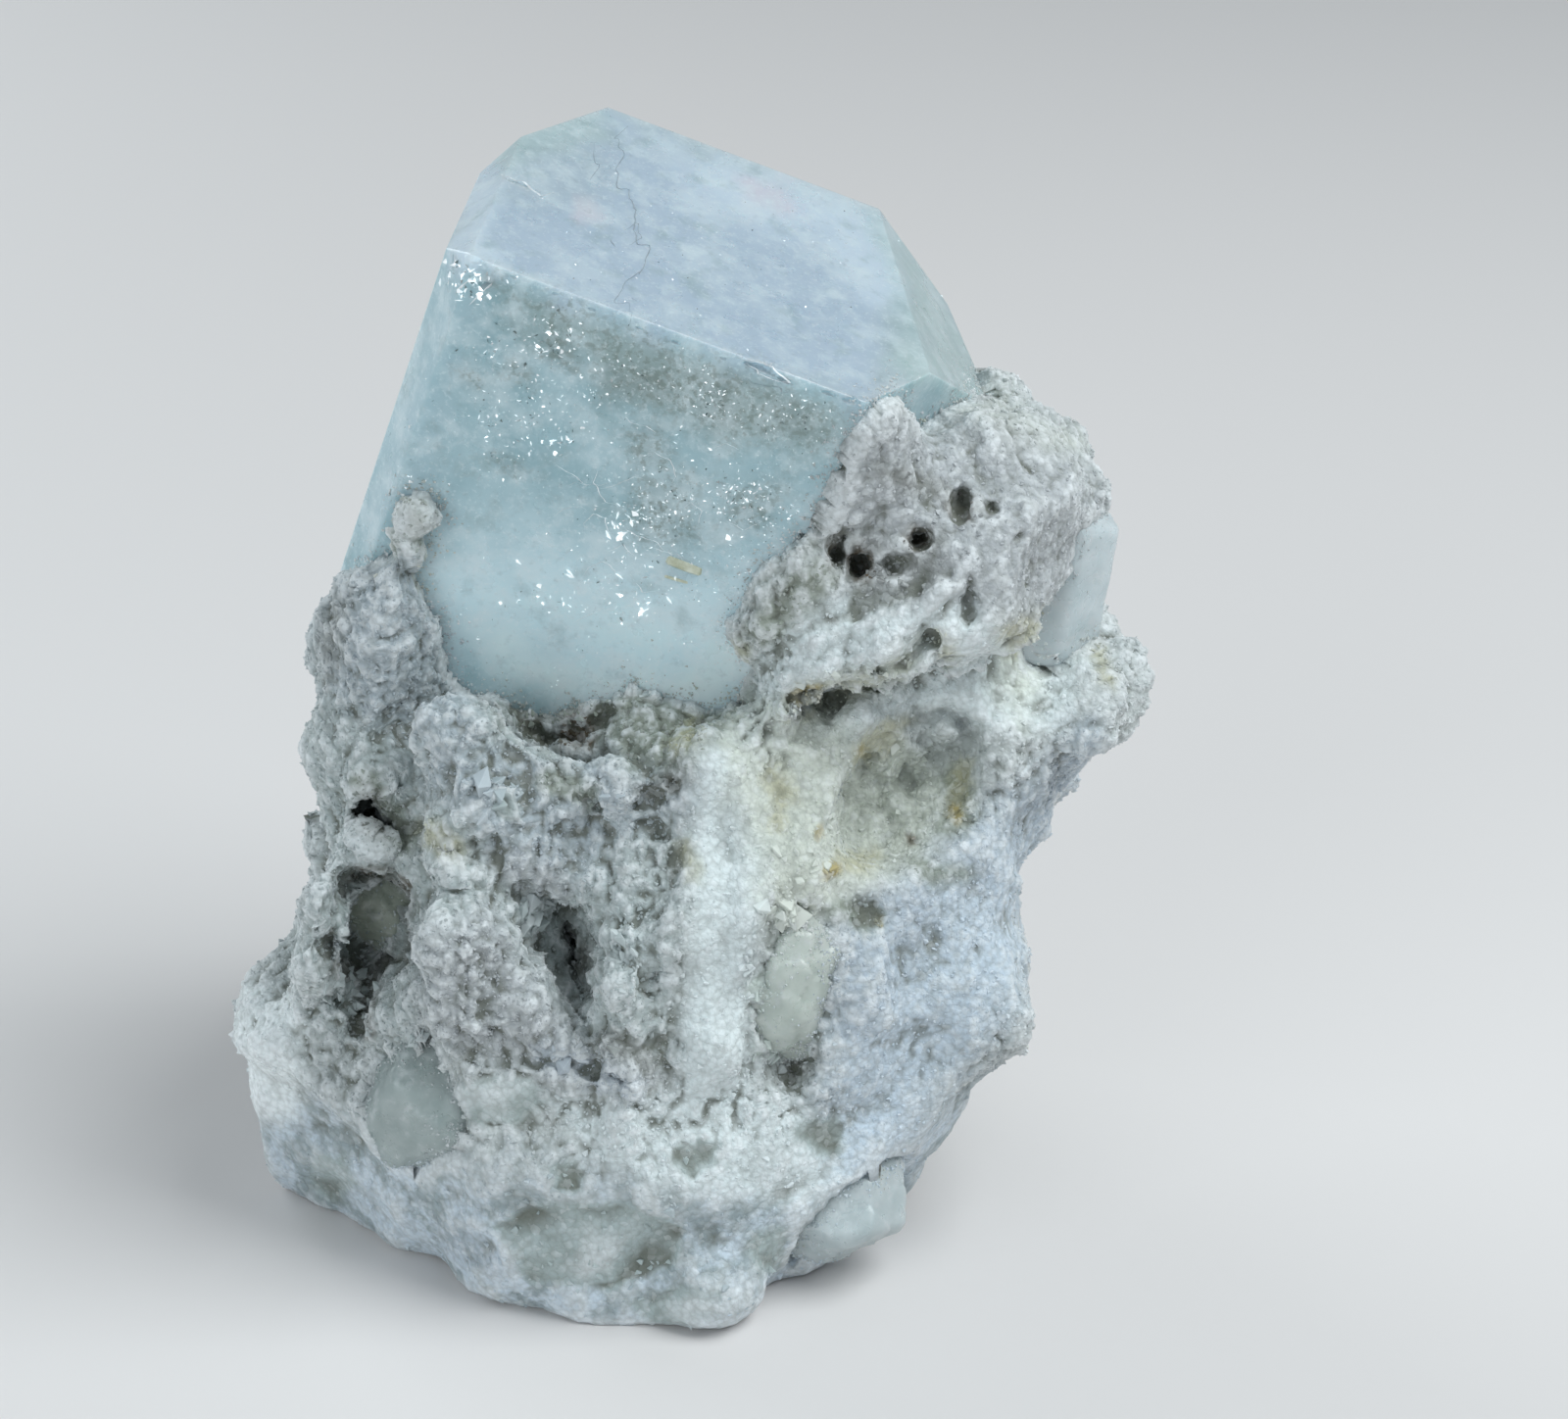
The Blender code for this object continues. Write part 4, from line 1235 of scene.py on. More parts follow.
for middle, scatter, count, half_size in CHIP_NESTS.values():
    for _ in range(count):
        place = np.array(middle) + chance.normal(size=2) * np.array(scatter) * 0.6
        spot, facing, index, _ = rock_skin.ray_cast(VIEW_EYE, sight_line(place))
        if spot is None:
            continue
        if min(reach_to(name, np.array(spot)[None] / MM)[0][0] for name in HELD) < CHIP_GAP:
            continue
        size = half_size * chance.uniform(0.55, 1.1) * chance.uniform(0.6, 1.0, 3)
        centres.append(np.array(spot) / MM - 0.35 * size.max() * np.array(facing))
        sizes.append(size)
        owners.append(rock.data.polygons[index].vertices[0])
corners, faces = scattered_shards(np.array(centres), np.array(sizes), 0.45)
corners[:, 2] = np.maximum(corners[:, 2], 0.0)
chip_mesh = mesh_from("feldspar_chips", corners * MM, faces)
tones = {layer: mask[owners] * (layer not in NO_CHIP_TONES) for layer, mask in rock_masks.items()}
give_tones(chip_mesh, tones, 0.2 + 0.6 * chance.random(len(centres)))
chips = new_piece("feldspar_chips", chip_mesh, sugar)
worn = chips.modifiers.new("worn_edges", "BEVEL")
worn.width = 0.03 * MM
worn.segments = 1
evaluated(chips)
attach(chips, "root")

# ---- the aquamarine crystal -------------------------------------------------------------
# One prism of pale blue beryl, milky and full of fine flakes, healed cracks and cloud. Its faces
# are natural and nearly flat, the edges are bruised, and the root is lost in the rock.
EDGE_WEAR = 0.05
FACE_GRID = 0.35  # spacing of the points that carry its tones
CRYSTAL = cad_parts["aquamarine_crystal"]
# Chips knocked out of its edges: place in the table view, half sizes, turn in the view.
CHIPS = {
    "edge_loop": ((778, 377), (0.70, 0.24, 0.22), -24),
    "edge_loop_end": ((802, 389), (0.34, 0.16, 0.16), -24),
    "corner_bruise": ((484, 262), (0.34, 0.30, 0.26), 20),
    "corner_scar": ((492, 292), (0.55, 0.22, 0.14), 40),
    "left_edge_nick": ((462, 268), (0.30, 0.26, 0.20), 70),
    "top_dent": ((536, 189), (0.85, 0.20, 0.13), -12),
    "edge_nick_a": ((524, 283), (0.14, 0.10, 0.10), 0),
    "edge_nick_b": ((566, 300), (0.12, 0.08, 0.08), 0),
    "edge_nick_c": ((604, 316), (0.16, 0.10, 0.10), -24),
    "edge_nick_d": ((652, 335), (0.14, 0.09, 0.08), -24),
    "edge_nick_e": ((690, 350), (0.18, 0.11, 0.10), -24),
    "edge_nick_f": ((738, 366), (0.14, 0.09, 0.09), -24),
    "edge_nick_g": ((846, 402), (0.30, 0.14, 0.12), -20),
    "edge_nick_h": ((868, 410), (0.34, 0.22, 0.16), -10),
    "shoulder_nick": ((514, 162), (0.20, 0.16, 0.14), 60),
}


def mesh_of(bm, name):
    """Finish a mesh that was edited."""
    mesh = bpy.data.meshes.new(name)
    bm.to_mesh(mesh)
    bm.free()
    return mesh


def flat_faced(node, name):
    """A copy of a flat-faced CAD solid with each flat side as one face."""
    bm = bmesh.new()
    bm.from_mesh(node.data)
    bmesh.ops.remove_doubles(bm, verts=bm.verts, dist=0.001 * MM)
    bmesh.ops.dissolve_limit(bm, angle_limit=0.02, verts=bm.verts, edges=bm.edges)
    return mesh_of(bm, name)


def wear_edges(piece, width):
    """Round a piece's sharp edges; width in millimetres."""
    worn = piece.modifiers.new("worn_edges", "BEVEL")
    worn.width = width * MM
    worn.segments = 2
    worn.limit_method = "ANGLE"
    worn.angle_limit = math.radians(12)
    evaluated(piece)


def rule_grid(piece, spacing):
    """Rule the faces into small ones, so that their points can carry tones."""
    bm = bmesh.new()
    bm.from_mesh(piece.data)
    low = Vector(min(vert.co[axis] for vert in bm.verts) for axis in range(3))
    high = Vector(max(vert.co[axis] for vert in bm.verts) for axis in range(3))
    for axis in range(3):
        facing = Vector(1.0 if part == axis else 0.0 for part in range(3))
        for level in np.arange(low[axis] + 0.5 * spacing * MM, high[axis], spacing * MM):
            geometry = bm.verts[:] + bm.edges[:] + bm.faces[:]
            bmesh.ops.bisect_plane(bm, geom=geometry, dist=1e-7, plane_co=facing * level, plane_no=facing)
    bm.to_mesh(piece.data)
    bm.free()


crystal_solid = skin_of(CRYSTAL.data)
crystal = new_piece("aquamarine_prism", flat_faced(CRYSTAL, "aquamarine_prism"))
wear_edges(crystal, EDGE_WEAR)
chip_mesh = bmesh.new()
for place, half_sizes, turn in CHIPS.values():
    spot, facing, _, _ = crystal_solid.ray_cast(VIEW_EYE, sight_line(place))
    made = bmesh.ops.create_icosphere(chip_mesh, subdivisions=2, radius=1.0)["verts"]
    turned = Matrix.Rotation(math.radians(-turn), 3, VIEW_AHEAD)
    for vert in made:
        rough = vert.co * (1.0 + 0.18 * noise.noise(vert.co * 2.2 + spot * 400.0))
        across, over, out = (part * half for part, half in zip(rough, half_sizes))
        local = turned @ (Vector((across, 0, 0)) + VIEW_ABOVE * over) + facing * out
        vert.co = spot + local * MM + facing * 0.3 * half_sizes[2] * MM
chip_cutter = new_piece("edge_chips", mesh_of(chip_mesh, "edge_chips"))
cut = crystal.modifiers.new("edge_chips", "BOOLEAN")
cut.operation = "DIFFERENCE"
cut.solver = "EXACT"
cut.use_self = True
cut.object = chip_cutter
evaluated(crystal)
bpy.data.objects.remove(chip_cutter)
rule_grid(crystal, FACE_GRID)

# Tones inside its faces, some painted light, shade and reflection, as for the rock: colour, strength, soft
# edge, outlines, lines.
CRYSTAL_ZONES = {
    # bright_foot and bright_heel are partly milk and partly painted light: the lower part of the prism is
    # lightened for the light that the pale rock behind sends through it.
    "bright_foot": (
        (0.74, 0.92, 0.98), 0.92, 2.4,
        (
            (
                (420, 560), (560, 560), (700, 590), (830, 540), (800, 640), (740, 690), (640, 720),
                (520, 670), (440, 640),
            ),
        ),
    ),
    "pale_side": (
        (0.42, 0.58, 0.64), 0.85, 1.2,
        (((466, 262), (478, 300), (460, 380), (446, 460), (430, 540), (360, 540), (400, 420)),),
    ),
    "bright_heel": (
        (0.84, 0.98, 1.0), 0.9, 1.0,
        (
            (
                (490, 640), (600, 690), (700, 690), (770, 640), (780, 690), (700, 730), (600, 725),
                (500, 690),
            ),
        ),
    ),
    # dusk is partly fine grey grit and partly painted shade: the band under the top edge is darkened for the
    # dark that it shows through the back faces.
    "dusk": (
        (0.33, 0.41, 0.39), 0.70, 1.0,
        (
            (
                (500, 280), (600, 322), (700, 356), (780, 385), (850, 410), (850, 450), (790, 455),
                (740, 445), (690, 425), (620, 400), (590, 350), (520, 320),
            ),
        ),
    ),
    "smoke": (
        (0.27, 0.34, 0.34), 0.50, 0.7,
        (
            ((700, 376), (748, 384), (746, 430), (706, 436)),
            ((606, 380), (680, 372), (684, 404), (612, 410)),
            ((780, 400), (838, 410), (834, 440), (784, 446)),
            ((638, 440), (676, 436), (680, 474), (644, 476)),
            ((640, 490), (706, 486), (712, 552), (648, 556)),
            ((732, 492), (800, 494), (782, 540), (738, 540)),
        ),
        (((560, 352), (582, 376)), 0.35),
        (((524, 372), (540, 384)), 0.3),
        (((505, 465), (524, 484)), 0.3),
        (((478, 384), (488, 390)), 0.15),
        (((468, 476), (474, 480)), 0.12),
        (((755, 384), (790, 392)), 0.15),
    ),
    # Painted reflection: most of the end face is tinted lilac for the soft light above it that it mirrors.
    "lilac_reflection": (
        (0.50, 0.61, 0.73), 0.80, 0.8,
        (
            (
                (510, 160), (610, 112), (760, 180), (890, 225), (930, 320), (880, 408), (760, 375),
                (600, 315), (470, 262),
            ),
        ),
    ),
    # Painted highlight: whiter patches on the end and light strips along its bevels, where they catch the
    # light.
    "end_highlight": (
        (0.70, 0.81, 0.90), 0.75, 0.8,
        (((690, 150), (800, 175), (890, 215), (925, 290), (860, 250), (780, 235), (700, 200)),),
        (((860, 235), (900, 290)), 0.8),
        (((480, 255), (500, 262)), 0.4),
        (((514, 158), (494, 200), (474, 258)), 0.7),
    ),
    "blush": (
        (0.78, 0.66, 0.72), 0.55, 0.5,
        (((760, 184), (800, 190), (806, 212), (766, 206)),),
        (((596, 216), (612, 224)), 0.25),
    ),
    "sea_green": (
        (0.52, 0.66, 0.64), 0.70, 0.7,
        (((888, 215), (940, 270), (1000, 350), (1030, 420), (960, 400), (900, 370), (925, 300)),),
        (((520, 150), (600, 130)), 0.6),
    ),
    "shoulder_grey": (
        (0.46, 0.56, 0.60), 0.40, 0.5,
        (((520, 145), (612, 112), (630, 150), (620, 200), (560, 215), (505, 205)),),
        (((900, 330), (940, 350)), 0.4),
    ),
}
CRYSTAL_AXIS = (0.318, -0.213, 0.924)
AXIS_TURN = Vector(CRYSTAL_AXIS).rotation_difference(Vector((0, 0, 1))).to_euler()
CRYSTAL_ZONE_EDGE = ((0.5, 1.3, 2.2), (0.25, 0.5, 9.1))
places = mesh_places(crystal.data)
ragged = ragged_edge(places, CRYSTAL_ZONE_EDGE)
shown = shows_in_view(places, mesh_facings(crystal.data), crystal_solid)
mask_zones(crystal.data, CRYSTAL_ZONES, in_table_view(places), ragged, shown)
keep_mask(crystal.data, "far_milk", (1.0 - shown) * fade(ragged, -0.1, 0.35))
# Haze and dust all through it: size, start and end of its soft edge, shift, strength, colour.
HAZES = (
    (1.9, 0.48, 0.60, 0.02, 0.34, (0.76, 0.86, 0.89)),
    (0.8, 0.50, 0.66, 0.02, 0.42, (0.78, 0.88, 0.91)),
    (1.3, 0.45, 0.30, 0.02, 0.42, (0.29, 0.41, 0.42)),
    (0.16, 0.56, 0.64, 0.02, 0.30, (0.86, 0.94, 0.97)),
    (0.35, 0.58, 0.75, 0.05, 0.30, (0.28, 0.36, 0.37)),
)


def beryl_colour(tree, deep, pale):
    """The crystal's colour: its milk, zones, haze, dust and grit, with painted light, shade, reflection and
    glints.
    """
    colour = tint(tree, cloud_mask(tree, 4.5, 0.35, 0.65), deep, pale)
    colour = stain(tree, colour, zone_mask(tree, "far_milk"), 0.7, (0.66, 0.78, 0.81))
    colour = stain_zones(tree, colour, CRYSTAL_ZONES)
    for size, low, high, shift, strength, shade in HAZES:
        colour = stain(tree, colour, cloud_mask(tree, size, low, high, shift), strength, shade)
    gritty = reckon(tree, "MAXIMUM", zone_mask(tree, "dusk"), zone_mask(tree, "smoke"))
    grit = reckon(
        tree, "MULTIPLY", cloud_mask(tree, 0.26, 0.50, 0.60, 0.07), reckon(tree, "MULTIPLY", gritty, 0.6)
    )
    colour = tint(tree, grit, colour, (0.20, 0.25, 0.22))
    # Painted glints: small pale specks among the grit, as though they caught the light.
    painted_glint = reckon(
        tree, "MULTIPLY", cloud_mask(tree, 0.20, 0.58, 0.66, 0.09), reckon(tree, "MULTIPLY", gritty, 0.5)
    )
    return tint(tree, painted_glint, colour, (0.74, 0.84, 0.86))


# The sides of the prism, and the flat end with its bevels, differ in lustre; the end's colours are also
# paler, painted light for the light that falls on it from above.
for finish_name, clear, smooth, deep, pale in (
    ("aquamarine_side", 0.08, 0.24, (0.31, 0.49, 0.54), (0.51, 0.68, 0.73)),
    ("aquamarine_end", 0.25, 0.24, (0.48, 0.58, 0.62), (0.60, 0.69, 0.74)),
):
    finish, tree, shader = new_finish(
        finish_name, IOR=1.57, Transmission_Weight=clear, Specular_IOR_Level=0.35,
        Subsurface_Weight=0.5, Subsurface_Radius=(0.8, 1.0, 1.0), Subsurface_Scale=1.2 * MM,
    )
    tree.links.new(beryl_colour(tree, deep, pale), shader.inputs["Base Color"])
    where = add_node(tree, "ShaderNodeTexCoord").outputs["Object"]
    ripple = add_node(tree, "ShaderNodeTexNoise", {"Vector": where, "Scale": 700.0, "Detail": 4.0})
    rough = spread(tree, ripple.outputs["Fac"], 0.35, 0.7, smooth, smooth + 0.16)
    tree.links.new(rough, shader.inputs["Roughness"])
    upright = add_node(
        tree, "ShaderNodeMapping", {"Vector": where, "Rotation": AXIS_TURN, "Scale": (1.0, 1.0, 0.05)}
    )
    growth_lines = add_node(
        tree, "ShaderNodeTexNoise", {"Vector": upright.outputs["Vector"], "Scale": 1500.0, "Detail": 3.0}
    )
    relief = reckon(
        tree, "ADD", ripple.outputs["Fac"], reckon(tree, "MULTIPLY", growth_lines.outputs["Fac"], 0.8)
    )
    bump = add_node(tree, "ShaderNodeBump", {"Height": relief, "Strength": 0.25, "Distance": 0.06 * MM})
    tree.links.new(bump.outputs["Normal"], shader.inputs["Normal"])
    crystal.data.materials.append(finish)
END_TILT = 0.6  # a face that looks up the long axis by more than this belongs to the end
for face in crystal.data.polygons:
    face.material_index = 1 if face.normal.dot(Vector(CRYSTAL_AXIS)) > END_TILT else 0
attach(crystal, "root")
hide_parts("aquamarine_crystal")

# ---- what is inside the crystal ---------------------------------------------------------
# Flakes and tiny cavities, the flashing ones painted white with a faint glow as though they caught the
# light, grey dust between them, fine healed cracks that curve across it, and one short yellow-brown rod.
# Each swarm: middle and spread in the table view, number, half size, depth under the face.
FLAKE_SWARMS = {
    "high_left": ((563, 350), (24, 20), 70, 0.065, 0.5),
    "high_left_edge": ((508, 352), (22, 16), 34, 0.05, 0.5),
    "band": ((545, 420), (48, 22), 150, 0.05, 0.5),
    "band_low": ((566, 452), (20, 8), 16, 0.08, 0.3),
    "green_patch": ((515, 474), (14, 14), 16, 0.05, 0.4),
    "dusk_left": ((646, 388), (42, 16), 70, 0.045, 0.6),
    "dusk_middle": ((724, 405), (24, 24), 90, 0.045, 0.6),
    "dusk_right": ((800, 420), (38, 18), 60, 0.045, 0.6),
    "heart": ((674, 520), (36, 34), 210, 0.045, 0.6),
    "right_heart": ((762, 506), (32, 18), 120, 0.05, 0.5),
    "bright_pair": ((628, 533), (10, 16), 14, 0.10, 0.3),
    "foot": ((622, 600), (20, 26), 22, 0.07, 0.4),
    "foot_bright": ((661, 620), (8, 10), 9, 0.10, 0.3),
    "foot_left": ((543, 614), (26, 6), 14, 0.07, 0.3),
    "bruise": ((478, 288), (18, 16), 60, 0.08, 0.08),
    "side": ((422, 470), (10, 20), 12, 0.05, 0.3),
    "dust": ((620, 500), (170, 150), 420, 0.026, 0.3),
    "dust_right": ((790, 580), (34, 34), 120, 0.03, 0.2),
    "top_dust": ((720, 260), (140, 80), 110, 0.025, 0.15),
    "plates": ((652, 556), (34, 40), 11, 0.12, 0.3),
    "plates_left": ((560, 590), (40, 26), 6, 0.09, 0.3),
    "milk_dust": ((700, 610), (100, 40), 320, 0.022, 0.3),
    "milk_dust_right": ((800, 520), (40, 60), 200, 0.022, 0.3),
}
LARGE_FLAKE = 0.14  # half size; these always flash
flake_chance = np.random.default_rng(11)


def rock_in_front(place, spot):
    """True if the rock hides a spot that the line of sight through a place would reach."""
    gap = matrix_solid.ray_cast(VIEW_EYE, sight_line(place))[3]
    return gap is not None and gap < (spot - VIEW_EYE).length


centres, sizes = [], []
for middle, scatter, count, half_size, depth in FLAKE_SWARMS.values():
    for _ in range(count):
        place = np.array(middle) + flake_chance.normal(size=2) * np.array(scatter) * 0.8
        spot, facing, _, _ = crystal_solid.ray_cast(VIEW_EYE, sight_line(place))
        if spot is None or rock_in_front(place, spot):
            continue
        below = 0.02 * depth * flake_chance.random()
        centres.append(np.array(spot) / MM - np.array(facing) * below)
        sizes.append(
            half_size * flake_chance.uniform(0.6, 2.2) * np.array(
                (1.0, flake_chance.uniform(0.4, 1.0), 0.12)
            )
        )
# More lie on the sides that the table view does not show.
STRAY_FLAKES = 420
places = mesh_places(crystal.data)
triangles, area, outward = skin_triangles(crystal.data, places)
away = (outward @ np.array(VIEW_AHEAD)) > 0.02
strays, _ = scatter_on(places, triangles, area * away, STRAY_FLAKES)
centres.extend(strays)
sizes.extend(0.04 * flake_chance.uniform(0.5, 2.0, (STRAY_FLAKES, 1)) * np.array((1.0, 0.7, 0.12)))
corners, faces = scattered_shards(np.array(centres), np.array(sizes), 0.2)
flake_flash_share = np.where(np.array(sizes)[:, 0] > LARGE_FLAKE, 1.0, flake_chance.random(len(centres)))
flake_mesh = mesh_from("glitter_flakes", corners * MM, faces)
give_tones(flake_mesh, {}, flake_flash_share)
glitter, tree, shader = new_finish("glitter", Roughness=0.12, Metallic=0.6)
# Painted glints: the flakes chosen to flash are painted white and glow faintly, as though they caught the
# light; the rest are dark grey.
painted_flash = spread(tree, zone_mask(tree, "own_tone"), 0.15, 0.5)
flake_colour = tint(tree, painted_flash, (0.20, 0.25, 0.25), (0.97, 0.99, 1.0))
tree.links.new(flake_colour, shader.inputs["Base Color"])
tree.links.new(tint(tree, painted_flash, (0.0, 0.0, 0.0), (0.9, 0.97, 1.0)), shader.inputs["Emission Color"])
shader.inputs["Emission Strength"].default_value = 0.5
flakes = new_piece("glitter_flakes", flake_mesh, glitter)
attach(flakes, "root")

# Healed cracks, then open ones: fine curved threads at or just under the face. Line in the table
# view, thickness, depth.
THREADS = {
    "arc_high": (((631, 424), (646, 432), (662, 436), (676, 446)), 0.045, 0.15),
    "arc_heart": (((613, 470), (606, 492), (618, 512), (640, 520)), 0.03, 0.2),
    "arc_low": (((600, 500), (620, 498), (650, 486), (668, 492)), 0.03, 0.25),
    "crest": (((617, 545), (640, 541), (668, 553), (686, 566)), 0.045, 0.12),
    "crest_foot": (((612, 566), (636, 556), (652, 570)), 0.03, 0.12),
    "fan": (((590, 596), (600, 580), (616, 572), (628, 582), (630, 600)), 0.03, 0.12),
    "long_left": (((560, 470), (584, 484), (606, 500)), 0.03, 0.2),
    "long_foot": (((580, 638), (600, 628), (616, 622)), 0.025, 0.1),
    "right_arc": (((720, 460), (742, 452), (758, 462)), 0.025, 0.2),
    "right_low": (((735, 530), (760, 540), (786, 528)), 0.025, 0.2),
    "wisp_a": (((560, 532), (574, 520), (590, 516), (604, 524)), 0.025, 0.1),
    "wisp_b": (((652, 470), (668, 462), (684, 470), (690, 486), (682, 500)), 0.03, 0.1),
    "wisp_c": (((694, 520), (706, 512), (716, 522), (712, 540)), 0.025, 0.1),
    "wisp_d": (((600, 548), (596, 534), (606, 524), (618, 528), (622, 544), (612, 552)), 0.035, 0.1),
    "wisp_e": (((660, 558), (690, 566), (700, 580)), 0.03, 0.1),
    "wisp_f": (((570, 500), (588, 492), (612, 496), (630, 490)), 0.03, 0.1),
    "wisp_g": (((646, 590), (656, 604), (672, 606)), 0.03, 0.1),
    "scar_edge": (((475, 316), (490, 300), (506, 286)), 0.06, 0.04),
    "scar_edge_low": (((462, 300), (476, 288), (488, 280)), 0.05, 0.04),
    "loop_top": (
        ((762, 370), (772, 368), (790, 376), (806, 390), (792, 388), (772, 378), (762, 370)), 0.04, 0.0
    ),
    "dent_rim": (((512, 176), (530, 186), (552, 200), (566, 196)), 0.04, 0.0),
}
CRACKS = {
    "wavy": (
        (
            (642, 128), (626, 142), (636, 158), (628, 176), (640, 196), (650, 214), (646, 236),
            (662, 256), (656, 276), (638, 288), (630, 304), (646, 318), (642, 332),
        ),
        0.03, 0.0,
    ),
    "wavy_side": (((604, 150), (612, 168), (602, 184)), 0.022, 0.0),
    "wavy_loop": (((636, 236), (646, 230), (654, 244), (642, 250)), 0.02, 0.0),
    "pit_row": (((622, 244), (628, 252)), 0.03, 0.0),
    "under_edge": (((745, 378), (760, 386), (776, 391), (800, 398), (826, 402)), 0.05, 0.02),
    "left_under_edge": (((520, 292), (560, 312), (600, 328)), 0.03, 0.02),
}
THREAD_TURNS = (0.0, 2.09, 4.19)  # where the three corners of a thread's section stand, in radians


def close_tube(bm, rings):
    """Skin a tube through its rings of points, with a cap at both ends."""
    count = len(rings[0])
    for lower, upper in zip(rings, rings[1:]):
        for corner in range(count):
            after = (corner + 1) % count
            bm.faces.new((lower[corner], lower[after], upper[after], upper[corner]))
    bm.faces.new(reversed(rings[0]))
    bm.faces.new(rings[-1])


def add_thread(bm, line, thickness, depth, waver, solid):
    """A fine three-sided thread that follows a line seen on the solid's face, thin at both ends."""
    course = []
    for start, end in zip(line, line[1:]):
        steps = max(2, int(math.dist(start, end) / 3.0))
        for step in range(steps):
            share = step / steps
            wander = waver * noise.noise(Vector((start[0] + step, start[1], 0.0)) * 0.31)
            across = start[0] + (end[0] - start[0]) * share + wander
            down = start[1] + (end[1] - start[1]) * share - wander
            course.append((across, down))
    course.append(line[-1])
    rings = []
    for index, place in enumerate(course):
        spot, facing, _, _ = solid.ray_cast(VIEW_EYE, sight_line(place))
        if spot is None:
            continue
        taper = math.sin(math.pi * (0.06 + 0.88 * index / (len(course) - 1)))
        across = facing.cross(VIEW_AHEAD).normalized()
        middle = spot - facing * depth * MM
        reach = thickness * MM * taper
        ring = [
            middle + (across * math.cos(turn) + facing * math.sin(turn)) * reach for turn in THREAD_TURNS
        ]
        rings.append([bm.verts.new(corner) for corner in ring])
    close_tube(bm, rings)


for piece_name, lines, waver, swell, shade, dull in (
    ("healed_cracks", THREADS, 2.5, 1.25, (0.94, 0.98, 1.0), 0.25),
    ("open_cracks", CRACKS, 7.0, 0.9, (0.36, 0.42, 0.47), 0.5),
):
    finish, tree, shader = new_finish(piece_name, Roughness=dull, IOR=1.4)
    colour = tint(tree, cloud_mask(tree, 0.5, 0.4, 0.6), shade, tuple(0.75 * part for part in shade))
    tree.links.new(colour, shader.inputs["Base Color"])
    bm = bmesh.new()
    for line, thickness, depth in lines.values():
        add_thread(bm, line, swell * thickness, min(depth, 0.5 * thickness), waver, crystal_solid)
    bmesh.ops.recalc_face_normals(bm, faces=bm.faces)
    piece = new_piece(piece_name, mesh_of(bm, piece_name), finish)
    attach(piece, "root")

# The rod: a worn six-sided needle and a thinner one beside it, lying just under the face.
RODS = (((680, 571), (716, 585), 0.27), ((678, 588), (702, 595), 0.09))
ROD_GIRTHS = ((0.0, 0.75), (0.06, 1.0), (0.55, 1.05), (0.94, 0.95), (1.0, 0.65))  # share of length, girth
rod_finish, tree, shader = new_finish("rod", Roughness=0.3, IOR=1.6)
colour = tint(tree, cloud_mask(tree, 0.6, 0.4, 0.6), (0.40, 0.42, 0.28), (0.66, 0.69, 0.57))
tree.links.new(colour, shader.inputs["Base Color"])
bm = bmesh.new()
for start, end, radius in RODS:
    ends = []
    for place in (start, end):
        spot, facing, _, _ = crystal_solid.ray_cast(VIEW_EYE, sight_line(place))
        ends.append(spot - facing * (0.6 * radius) * MM)
    along = (ends[1] - ends[0]).normalized()
    across = along.cross(facing).normalized()
    rings = []
    for share, swell in ROD_GIRTHS:
        middle = ends[0].lerp(ends[1], share)
        ring = []
        for side in range(6):
            turn = math.radians(60 * side + 15)
            out = across * math.cos(turn) + facing * math.sin(turn)
            ring.append(bm.verts.new(middle + out * radius * swell * MM))
        rings.append(ring)
    close_tube(bm, rings)
bmesh.ops.recalc_face_normals(bm, faces=bm.faces)
rod = new_piece("yellow_rod", mesh_of(bm, "yellow_rod"), rod_finish)
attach(rod, "root")

# ---- the glassy pieces ------------------------------------------------------------------
# Grey quartz that filled gaps between the feldspar grains, worn round where the rock broke
# across it, and one small side crystal at the right rim, clear enough to see into.
# Each: slot, how clear, dullness, deep and pale tone, edge wear, rounds of wear, waviness,
# height of its broken steps, and its growth along X and Z into the gaps beside it.
GLASS_VOXEL = 0.13
GLASS_SWELL = 0.14  # so that the rock grips each one all round
GLASSY = {
    "side_crystal": (
        "side_quartz", 0.30, 0.16, (0.66, 0.77, 0.80), (0.84, 0.92, 0.95), 0.14, 3, 0.05, 0.0, 1.0, 1.0
    ),
    "quartz_grain_left": (
        "glassy_quartz", 0.30, 0.24, (0.40, 0.48, 0.47), (0.55, 0.62, 0.61), 0.30, 8, 0.12, 0.04, 1.05,
        1.0,
    ),
    "quartz_grain_right": (
        "glassy_quartz", 0.30, 0.24, (0.56, 0.64, 0.65), (0.74, 0.81, 0.82), 0.30, 8, 0.12, 0.06, 1.0, 1.0
    ),
    "quartz_grain_vein": (
        "glassy_quartz", 0.30, 0.24, (0.60, 0.67, 0.61), (0.80, 0.86, 0.80), 0.20, 3, 0.08, 0.13, 1.25,
        1.14,
    ),
    "quartz_grain_hollow": (
        "glassy_quartz", 0.25, 0.24, (0.34, 0.38, 0.31), (0.50, 0.55, 0.47), 0.30, 8, 0.12, 0.08, 1.0, 1.0
    ),
}
dressed = {"aquamarine_crystal": crystal}
